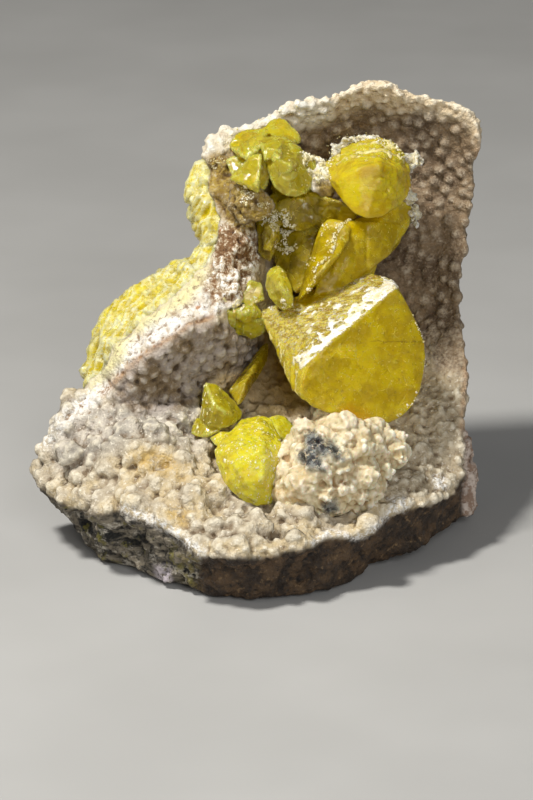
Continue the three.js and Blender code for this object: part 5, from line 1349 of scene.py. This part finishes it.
# darker olive all over: partly its own tone, partly painted shade
crystal("sulfur_stick", M_DARK, 4, terraces((0.8, -0.5, 0.2), 0.8, 0.12, 281), lambda v, n: 0.3 + 0 * v[:, 0], voxel=0.22, more={"dim": lambda v, n: 0.85 + 0 * v[:, 0]})
_, V_SMALL, F_SMALL = crystal("sulfur_small_left", M_GREEN, 3, flaked(0.25, 1.6, 291), lambda v, n: 0.2 + 0 * v[:, 0], voxel=0.22)
bright_piece, V_BRIGHT, F_BRIGHT = crystal(
    "sulfur_bright", M_BRIGHT, 7,
    lambda v, n: 0.16 * fbm(v, 2.6, 303, 2) + 0.22 * chips(v * [1.2, 0.9, 1.0], 1.3, 304) + 0.06 * fbm(v, 0.6, 305, 2),
    lambda v, n: 0.1 + 0.2 * step(fbm(v, 1.2, 302, 2), 0.1, 0.5), voxel=0.21,
    extras=[
        [(-8.0, -7.6, 13), (-7.5, -10.0, 14.5), (-6.6, -12.1, 15.5), (-5.2, -13.9, 16.5), (-3.4, -15.3, 17), (-1.3, -16.0, 17), (0.7, -15.6, 16.5), (0.8, -13.0, 16.5), (1.9, -10.6, 14.5), (-0.7, -12.0, 20), (-3.2, -12.4, 19.5), (-4.3, -10.0, 18.8), (-2.5, -9.3, 19.5), (-0.1, -9.4, 18.8), (-3.3, -13.8, 6), (0.2, -13.8, 6), (-5.6, -10.0, 6), (-6.8, -6.1, 12), (-4.0, -3.7, 10.5), (-0.7, -2.8, 9.5), (1.4, -5.2, 11.5), (2.4, -7.0, 13), (2.0, -9.1, 15), (-0.7, -7.3, 18), (-4.0, -7.0, 16.5), (-6.4, -7.9, 15), (-4.1, -6.2, 4), (0.5, -7.7, 4)],
    ],
)
# small white flakes all over it, painting sparkle highlights
s1, s2, sw = worley(V_BRIGHT * [1.5, 0.8, 1.0], 0.95, 306)
def sparkle_sheets(name, v, f, size, share, seed, least=lambda v, n: 1.0, reach=0.36, shape=(1.5, 0.8, 1.0)):
    """Small thin white flakes scattered on a face, painting sparkle highlights."""
    c1, c2, who = worley(v * list(shape), size, seed)
    near = least(v, normals(v, f)) * np.ones(len(v))
    sheet(name, (v, f), (c1 < reach) * (who > 1 - share * near) * 1.0, 0.06 + 0 * c1, M_SPARK)


# white flakes painting sparkle highlights; on the small left crystal they crowd its left side and on the upper left one
# its upper side, where the light falls
sparkle_sheets("tip_sparkle", V_TIP, F_TIP, 0.85, 0.40, 307)
sparkle_sheets("small_left_sparkle", V_SMALL, F_SMALL, 0.85, 0.9, 308, lambda v, n: step(-n[:, 0], -0.1, 0.7) + 0.25)
sparkle_sheets("upper_left_sparkle", V_UL, F_UL, 0.8, 0.30, 309, lambda v, n: step(n[:, 1], -0.3, 0.6) + 0.2)
sparkle_sheets("under_ridge_sparkle", V_UNDER, F_UNDER, 0.8, 0.35, 310)
sheet("bright_sparkle", (V_BRIGHT, F_BRIGHT), (s1 < 0.36) * (sw > 0.35) * 1.0, 0.07 + 0 * s1, M_SPARK)
crystal("sulfur_behind", M_BRIGHT, 4, None, lambda v, n: 0.2 + 0 * v[:, 0], voxel=0.22)


def crust_relief(v, n):
    a, b = 0.45 * v[:, 0] + 0.89 * v[:, 1], 0.89 * v[:, 0] - 0.45 * v[:, 1]
    p = np.column_stack([a * 0.34, b * 1.5, v[:, 2] * 0.8])
    crest = 1 - 2.4 * np.abs(fbm(p, 1.9, 312, 2))
    return 0.45 * along(v, CRUST_LINE, 2.0, 1.2) + 0.9 * chips(v, 4.0, 311) + 0.75 * crest + 0.5 * fbm(v, 3.0, 317, 2) + 0.10 * chips(v, 1.0, 313)


crystal(
    "sulfur_left", M_PALE, 3, crust_relief,
    lambda v, n: 0.15 + 0.7 * fbm(v * [1, 0.6, 1], 2.2, 314, 2) + 1.0 * along(v, CRUST_LINE, 2.4, 1.8) * step(fbm(v, 1.3, 316, 2), -0.25, 0.1),
)

# the cream knob: lumps on lumps
KV, KF = cad_mesh("calcite_knob")
KT = tree_of(KV, KF)
rng = np.random.default_rng(61)
uv = rng.uniform(KV.min(0)[:2], KV.max(0)[:2], (4000, 2))
p, q, hit = cast(KT, uv)
ok = hit & (q[:, 2] > 0.05)
p, q = p[ok], q[ok]
r = 1.0 + 1.9 * rng.random(len(p)) ** 1.6
# a few lumps that stand out
named = np.array([(14.7, -5.9), (2.6, -10.9), (9.8, -13.6), (12.3, -10.5), (5.2, -16.7), (3.6, -6.2), (17.3, -7.1)])
np_, nq, nh = cast(KT, named)
p, q, r = np.concatenate([np_[nh], p]), np.concatenate([nq[nh], q]), np.concatenate([np.array([3.2, 2.4, 2.3, 2.0, 2.2, 2.2, 1.9])[nh], r])
order = np.argsort(-r + rng.normal(0, 0.35, len(r)) - 5.0 * (np.arange(len(r)) < nh.sum()))
p, q, r = p[order], q[order], r[order]
keep = thin_out(p, r, 0.62)
p, q, r = p[keep], q[keep], r[keep]
C = p - q * (r * 0.68)[:, None]
kc, kr, kn = children(C, r, q, 6, (0.30, 0.60), 0.80)
pick = rng.random(len(kc)) < 0.6
kc, kr, kn = kc[pick], kr[pick], kn[pick]
gc, gr, gn = children(kc, kr, kn, 2, (0.35, 0.6))
core, cf = cad_mesh("calcite_knob")
core = core.mean(0) + (core - core.mean(0)) * 0.86
kv, kf = join([(core, cf), balls(C, r, 3, rng, 0.05, (0.85, 1.15)), balls(kc, kr, 2, rng, 0.08, (0.75, 1.25)), balls(gc, gr, 1, rng, 0.1, (0.75, 1.25))])
kv, kf = remesh(kv, kf, 0.24)
kn_ = normals(kv, kf)
ks = Spread(kf, len(kv))
kv = kv + kn_ * (0.40 * fbm(kv, 1.4, 321, 3) + 0.12 * vnoise(kv, 0.42, 322) + 0.50 * chips(kv, 1.5, 323))[:, None]
kn_ = normals(kv, kf)
knob_proud = np.clip(np.einsum("ij,ij->i", kv - ks.blur(kv, 14), kn_) / 0.45, -1, 1)
KNOB_DARK = [
    [(5.7, -5.3), (7.1, -4.5), (8.3, -5.6), (9.7, -7.3), (8.8, -8.8), (7.1, -7.9), (5.8, -6.7)],
    [(4.7, -7.8), (6.4, -7.3), (8.1, -8.8), (8.8, -10.7), (6.6, -10.4), (4.7, -9.1)],
    [(9.5, -6.0), (10.8, -7.0), (11.6, -9.0), (10.5, -9.1), (9.5, -7.6)],
    [(8.3, -15.8), (10.5, -15.0), (10.9, -16.7), (9.1, -17.5)],
]
KNOB_RUST = [(0.9, -13.3), (4.6, -13.6), (5.8, -16.1), (3.0, -16.7), (1.0, -15.5)]
KNOB_RUST_2 = [(3.6, -9.3), (6.1, -9.6), (6.0, -12.1), (4.0, -11.8)]


def calcite_material():
    s = Shader("calcite_cream")
    proud = s.attr("proud")
    cloud = s.noise(3.0, 3.0)
    grain = s.noise(0.5, 3.0, 0.65)
    fine = s.noise(0.18, 2.0, 0.6)
    c = s.mix(s.span(cloud, 0.35, 0.65), srgb(200, 182, 138), srgb(226, 212, 176))
    # painted highlight on the lump tops
    c = s.mix(s.span(proud, 0.0, 0.7), c, srgb(250, 243, 222))
    c = s.mix(s.math("MULTIPLY", s.span(s.noise(2.0, 4.0, 0.7), 0.54, 0.66), 0.6), c, srgb(186, 160, 112))
    # painted shade in the recesses between lumps
    c = s.mix(s.span(proud, 0.05, -0.6), c, srgb(156, 124, 80))
    c = s.mix(s.math("MULTIPLY", s.attr("rust"), s.span(s.noise(1.2, 4.0, 0.7), 0.4, 0.65, 0.0, 0.7)), c, srgb(206, 170, 106))
    spots = s.math("MULTIPLY", s.attr("dark"), s.span(s.noise(1.3, 5.0, 0.75), 0.36, 0.48))
    c = s.mix(spots, c, s.mix(s.span(s.noise(0.7, 3.0, 0.7), 0.4, 0.6), srgb(70, 72, 70), srgb(128, 130, 124)))
    c = s.mix(s.math("MULTIPLY", s.attr("dark"), s.span(s.noise(1.2, 4.0, 0.7), 0.48, 0.58)), c, srgb(34, 33, 32))
    relief = s.math("ADD", grain, s.math("MULTIPLY", fine, 0.5))
    return s.finish(c, s.span(s.noise(0.6, 2.0), 0.3, 0.7, 0.42, 0.75), s.bump(relief, 0.24, 0.9), Specular_IOR_Level=0.5, IOR=1.6, Subsurface_Weight=0.2, Subsurface_Scale=0.0012)


M_CALCITE = calcite_material()
piece(
    "calcite_lump", kv, kf, M_CALCITE, ("calcite_knob",),
    {
        "proud": knob_proud,
        "dark": np.clip(sum(inside(kv, z, 0.7) for z in KNOB_DARK), 0, 1),
        "rust": np.clip(inside(kv, KNOB_RUST, 0.8) + inside(kv, KNOB_RUST_2, 0.8), 0, 1),
    },
)
print("knob", len(kf) * 2)


# ---------------------------------------------------------------- sugary white grains on the crystals
def everything():
    parts = []
    dg = bpy.context.evaluated_depsgraph_get()
    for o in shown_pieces():
        me = o.evaluated_get(dg).to_mesh()
        co = np.empty(len(me.vertices) * 3, np.float32)
        me.vertices.foreach_get("co", co)
        me.calc_loop_triangles()
        t = np.empty(len(me.loop_triangles) * 3, np.int32)
        me.loop_triangles.foreach_get("vertices", t)
        parts.append((to_lean(co.reshape(-1, 3)), t.reshape(-1, 3)))
    return join(parts)


# crust that ties the two upper crystals together
bridge = closed_hull([(6.4, 37.7, 2), (8.3, 37.6, 2), (9.8, 35.5, 3), (10.7, 33.2, 5), (9.9, 31.4, 4.4), (8.6, 31.4, 4.2), (7.0, 32.3, 5), (6.1, 34.2, 4), (7.6, 35.1, 5.5), (6.8, 37.6, -8), (10.3, 35.3, -9), (10.3, 31.7, -8), (7.1, 33.6, -8)])
bt = tree_of(*bridge)
g0 = np.random.default_rng(431)
bp, bq, bh = cast(bt, g0.uniform(bridge[0].min(0)[:2], bridge[0].max(0)[:2], (400, 2)))
bp, bq = bp[bh], bq[bh]
br = g0.uniform(0.2, 0.5, len(bp))
keep = thin_out(bp, br, 0.6)
bv, bf = join([bridge, balls(bp[keep] - bq[keep] * 0.1, br[keep], 2, g0, 0.1, (0.7, 1.3))])
bv, bf = remesh(bv, bf, 0.24)
bn = normals(bv, bf)
bs = Spread(bf, len(bv))
bv = bv + bn * (0.20 * fbm(bv, 0.8, 432, 3) + 0.08 * vnoise(bv, 0.4, 433) + 0.25 * chips(bv, 1.2, 435))[:, None]
zero = np.zeros(len(bv))
tie = {k: zero for k in tri_zone}
tie["proud"] = np.clip(np.einsum("ij,ij->i", bv - bs.blur(bv, 10), normals(bv, bf)) / 0.35, -1, 1)
low = inside(bv, [(7.7, 33.5), (12.3, 34.4), (13.3, 28.2), (8.0, 28.2)], 0.8)
tie["block"], tie["white"] = low, 0.9 * (1 - low)
piece("crust_bridge", bv, bf, STONE, attributes=tie)

ALL_V, ALL_F = everything()
ALL = tree_of(ALL_V, ALL_F)


def grains(polygon, count, radius, clump=0.0, seed=0, soft=0.6):
    g = np.random.default_rng(seed)
    lo, hi = np.min(polygon, 0) - 0.5, np.max(polygon, 0) + 0.5
    uv = g.uniform(lo, hi, (count * 3, 2))
    w = inside(uv, polygon, soft)
    if clump:
        field = fbm(np.column_stack([uv, np.full(len(uv), 3.3)]), clump, seed + 5, 2)
        w = w * step(field, -0.05, 0.3)
    uv = uv[w > g.uniform(0.2, 1.0, len(w))][:count]
    p, q, hit = cast(ALL, uv)
    p, q = p[hit], q[hit]
    r = g.uniform(*radius, len(p)) * np.where(g.random(len(p)) < 0.12, 1.6, 1.0)
    return balls(p + q * (r * 0.1)[:, None], r, 1, g, 0.25, (0.4, 1.3))


CRUST_UPPER = [(8.6, 37.2), (9.8, 40.6), (12.2, 41.9), (16.0, 41.9), (19.8, 40.9), (21.9, 39.1), (24.4, 37.5), (22.9, 35.7), (23.6, 32.6), (24.4, 28.8), (22.6, 27.3), (21.3, 30.1), (22.2, 33.3), (21.3, 37.2), (19.1, 39.4), (15.4, 39.7), (12.2, 38.4), (10.2, 36.3), (9.2, 34.7)]
CRUST_JUNCTION = [(5.2, 38.8), (7.7, 38.4), (9.5, 35.7), (9.8, 33.2), (7.7, 33.5), (6.1, 35.3)]
CRUST_PLATE = [(0.9, 30.2), (4.6, 29.1), (4.9, 23.3), (2.1, 22.5), (0.2, 25.6)]
CRUST_LOBE = [(8.6, 27.0), (10.8, 27.3), (10.5, 24.8), (8.0, 21.4), (6.4, 17.8), (5.5, 18.6), (7.1, 22.5)]
CRUST_LEFT_RIM = [(-9.5, 38.8), (-5.7, 43.1), (-0.7, 44.7), (5.2, 46.8), (5.2, 45.0), (-0.4, 43.1), (-4.7, 41.4), (-6.4, 37.2), (-8.1, 34.9), (-9.7, 36.4)]
CRUST_MAIN_LEFT = [(-1.3, 15.5), (3.6, 15.5), (6.0, 13.6), (5.2, 12.1), (2.1, 12.7), (-0.7, 13.6)]
CRUST_UNDER = [(-6.9, 16.1), (-0.4, 15.8), (-0.1, 14.6), (-3.2, 13.6), (-6.3, 14.6)]
CRUST_BLOCK = [(-4.4, 33.2), (0.5, 31.6), (2.7, 28.8), (0.5, 26.0), (-3.5, 27.6)]
CRUST_MAIN_RIM = [(21.3, 16.1), (22.6, 14.6), (24.7, 9.3), (25.2, 5.9), (24.4, 1.6), (22.6, -1.6), (20.1, -3.4), (19.5, -2.8), (21.9, -0.6), (23.8, 2.5), (24.4, 6.2), (23.8, 9.0), (21.9, 13.6)]
CRUST_BRIGHT = [(-6.9, -5.0), (-0.7, -2.8), (2.4, -6.5), (1.5, -12.1), (0.5, -15.8), (-3.5, -14.9), (-6.3, -10.5)]

def clumps(path, count, radius, spread_mm, seed, depth=(0.0, 0.0)):
    """Angular lumps strewn along a line of points in space."""
    g = np.random.default_rng(seed)
    path = np.array(path, float)
    seg = np.linalg.norm(np.diff(path, axis=0), axis=1)
    at = g.uniform(0, seg.sum(), count)
    knots = np.concatenate([[0], np.cumsum(seg)])
    c = np.stack([np.interp(at, knots, path[:, k]) for k in range(3)], 1)
    c += g.normal(0, spread_mm, c.shape) * [1, 1, 0.8]
    c[:, 2] -= g.uniform(*depth, count)
    r = g.uniform(*radius, count) * np.where(g.random(count) < 0.2, 1.5, 1.0)
    return balls(c, r, 1, g, 0.25, (0.4, 1.4))


RIND = [(10.0, 37.4, 2), (10.8, 38.9, 1), (12.0, 40.0, -0.5), (13.4, 40.4, -1.5), (15.2, 40.5, -2), (17.0, 40.3, -2), (18.4, 39.8, -1.7), (19.5, 38.8, -1), (20.6, 37.5, -0.5), (21.3, 35.8, 0.5), (21.7, 33.7, 1.5), (22.0, 31.5, 2), (22.0, 30.0, 1.5)]
SPUR_1 = [(21.1, 37.9, -2), (22.5, 37.7, -3), (23.8, 37.3, -4), (22.7, 36.4, -3)]
SPUR_2 = [(22.4, 29.8, 0), (23.4, 28.9, -1.5), (22.5, 27.8, -2)]
# a broken, uneven ledge of frosted sulfur round the back of the upper crystal
ledge = []
for path, count, radius, spread_mm, seed, depth in (
    (RIND, 150, (0.28, 0.62), 0.28, 421, (0.3, 1.6)),
    (SPUR_1, 46, (0.30, 0.60), 0.35, 422, (0.0, 3.0)),
    (SPUR_2, 34, (0.30, 0.55), 0.30, 423, (0.0, 3.5)),
):
    ledge.append(clumps(path, count, radius, spread_mm, seed, depth))
lv, lf = remesh(*join(ledge), 0.20)
ln = normals(lv, lf)
lv = lv + ln * (0.30 * chips(lv, 0.9, 424) + 0.14 * fbm(lv, 0.5, 425, 2))[:, None]
ln = normals(lv, lf)
lsp = Spread(lf, len(lv))
lstand = np.clip(np.einsum("ij,ij->i", lv - lsp.blur(lv, 5), ln) / 0.12, -1, 1)
zero = np.zeros(len(lv))
piece("frosted_ledge", lv, lf, M_FROST, attributes={"edge": lstand, "frost": np.clip(0.5 + 0.5 * fbm(lv, 1.0, 426, 2), 0, 1), "amber_glow": zero, "sheen_and_frost": zero, "warm": zero, "dim": zero})
SPECK_LINE = np.array([(12.9, 27.6), (11.4, 26.7), (10.5, 25.1), (10.3, 23.3), (9.2, 21.4), (7.7, 20.5), (7.4, 18.6), (6.4, 16.7)])
lp, lq, lhit = cast(ALL, SPECK_LINE)
LOBE_SPECKS = (lp + 0.1 * lq)[lhit]
parts = [
    grains(CRUST_UPPER, 700, (0.08, 0.22), 1.6, 401),
    clumps(RIND, 160, (0.08, 0.2), 0.3, 411, (0.0, 1.2)),
    grains(CRUST_JUNCTION, 600, (0.08, 0.26), 1.5, 402),
    grains(CRUST_PLATE, 420, (0.08, 0.22), 1.4, 403),
    grains(CRUST_LOBE, 240, (0.06, 0.18), 1.2, 404),
    grains(CRUST_MAIN_LEFT, 360, (0.08, 0.24), 0.9, 405),
    grains(CRUST_UNDER, 260, (0.10, 0.24), 0.9, 406),
    grains(CRUST_BLOCK, 500, (0.06, 0.16), 1.2, 407),
    grains(CRUST_MAIN_RIM, 420, (0.07, 0.22), 1.2, 408),
    grains(CRUST_LEFT_RIM, 500, (0.06, 0.16), 1.2, 410),
    grains(CRUST_BRIGHT, 260, (0.05, 0.13), 0.8, 412),
    clumps(LOBE_SPECKS, 150, (0.07, 0.20), 0.22, 413),
]
gv, gf = join(parts)


def grain_material():
    s = Shader("sugary_crust")
    c = s.mix(s.span(s.noise(1.2, 3.0), 0.4, 0.62), srgb(214, 200, 140), srgb(244, 238, 214))
    return s.finish(c, s.span(s.noise(0.3, 2.0), 0.3, 0.7, 0.2, 0.5), s.bump(s.noise(0.15, 2.0), 0.05, 0.6), Specular_IOR_Level=0.6, IOR=1.6, Subsurface_Weight=0.2, Subsurface_Radius=(1.0, 0.9, 0.6), Subsurface_Scale=0.0004)


piece("sugary_crust", gv, gf, grain_material(), smooth=False)
print("grains", len(gf))


# ---------------------------------------------------------------- floor, light and camera
def stage_material():
    s = Shader("studio_floor")
    c = s.mix(s.span(s.noise(60.0, 3.0), 0.3, 0.7), (0.40, 0.395, 0.38), (0.44, 0.435, 0.42))
    return s.finish(c, 0.7, None, Specular_IOR_Level=0.3)


side = 3.0
floor = bpy.data.meshes.new("floor")
floor.from_pydata([(-side, -side, 0), (side, -side, 0), (side, side, 0), (-side, side, 0)], [], [(0, 1, 2, 3)])
floor.materials.append(stage_material())
floor_ob = bpy.data.objects.new("studio_floor", floor)
floor_ob.location.z = -0.00005
scene.collection.objects.link(floor_ob)

world = bpy.data.worlds.new("studio")
world.use_nodes = True
world.node_tree.nodes["Background"].inputs["Color"].default_value = (0.93, 0.92, 0.90, 1)
world.node_tree.nodes["Background"].inputs["Strength"].default_value = 0.12
scene.world = world

TARGET = Vector((0.0, 0.0, 0.032))


def area(name, direction, distance, size, watts, colour=(1, 1, 1)):
    light = bpy.data.lights.new(name, "AREA")
    light.shape = "DISK"
    light.size = size
    light.energy = watts
    light.color = colour
    ob = bpy.data.objects.new(name, light)
    d = Vector(direction).normalized()
    ob.location = TARGET + d * distance
    ob.rotation_mode = "QUATERNION"
    ob.rotation_quaternion = d.to_track_quat("Z", "Y")
    scene.collection.objects.link(ob)
    return ob


area("key", (-0.38, -0.24, 0.89), 0.55, 0.09, 3.5, (1.0, 0.98, 0.94))
area("fill", (0.25, -0.90, 0.45), 0.70, 0.36, 2.1, (0.97, 0.98, 1.0))
area("side", (-0.95, -0.35, 0.45), 0.60, 0.25, 0.35, (1.0, 0.99, 0.97))

cam = bpy.data.cameras.new("camera")
cam.sensor_fit = "AUTO"
cam.sensor_width = 36.0
cam.lens = 6.45 * 700.0 / 800.0 * 36.0
cam.clip_start, cam.clip_end = 0.05, 20.0
cam_ob = bpy.data.objects.new("camera", cam)
origin = to_row(np.array([[0.0, 0.0, 700.0]]))[0]
cam_ob.location = origin
cam_ob.rotation_mode = "QUATERNION"
cam_ob.rotation_quaternion = Vector((0, -math.cos(LEAN), math.sin(LEAN))).to_track_quat("Z", "Y")
scene.collection.objects.link(cam_ob)
scene.camera = cam_ob

scene.view_settings.view_transform = "Standard"
scene.view_settings.look = "None"
scene.view_settings.exposure = 0.0
scene.view_settings.gamma = 1.0
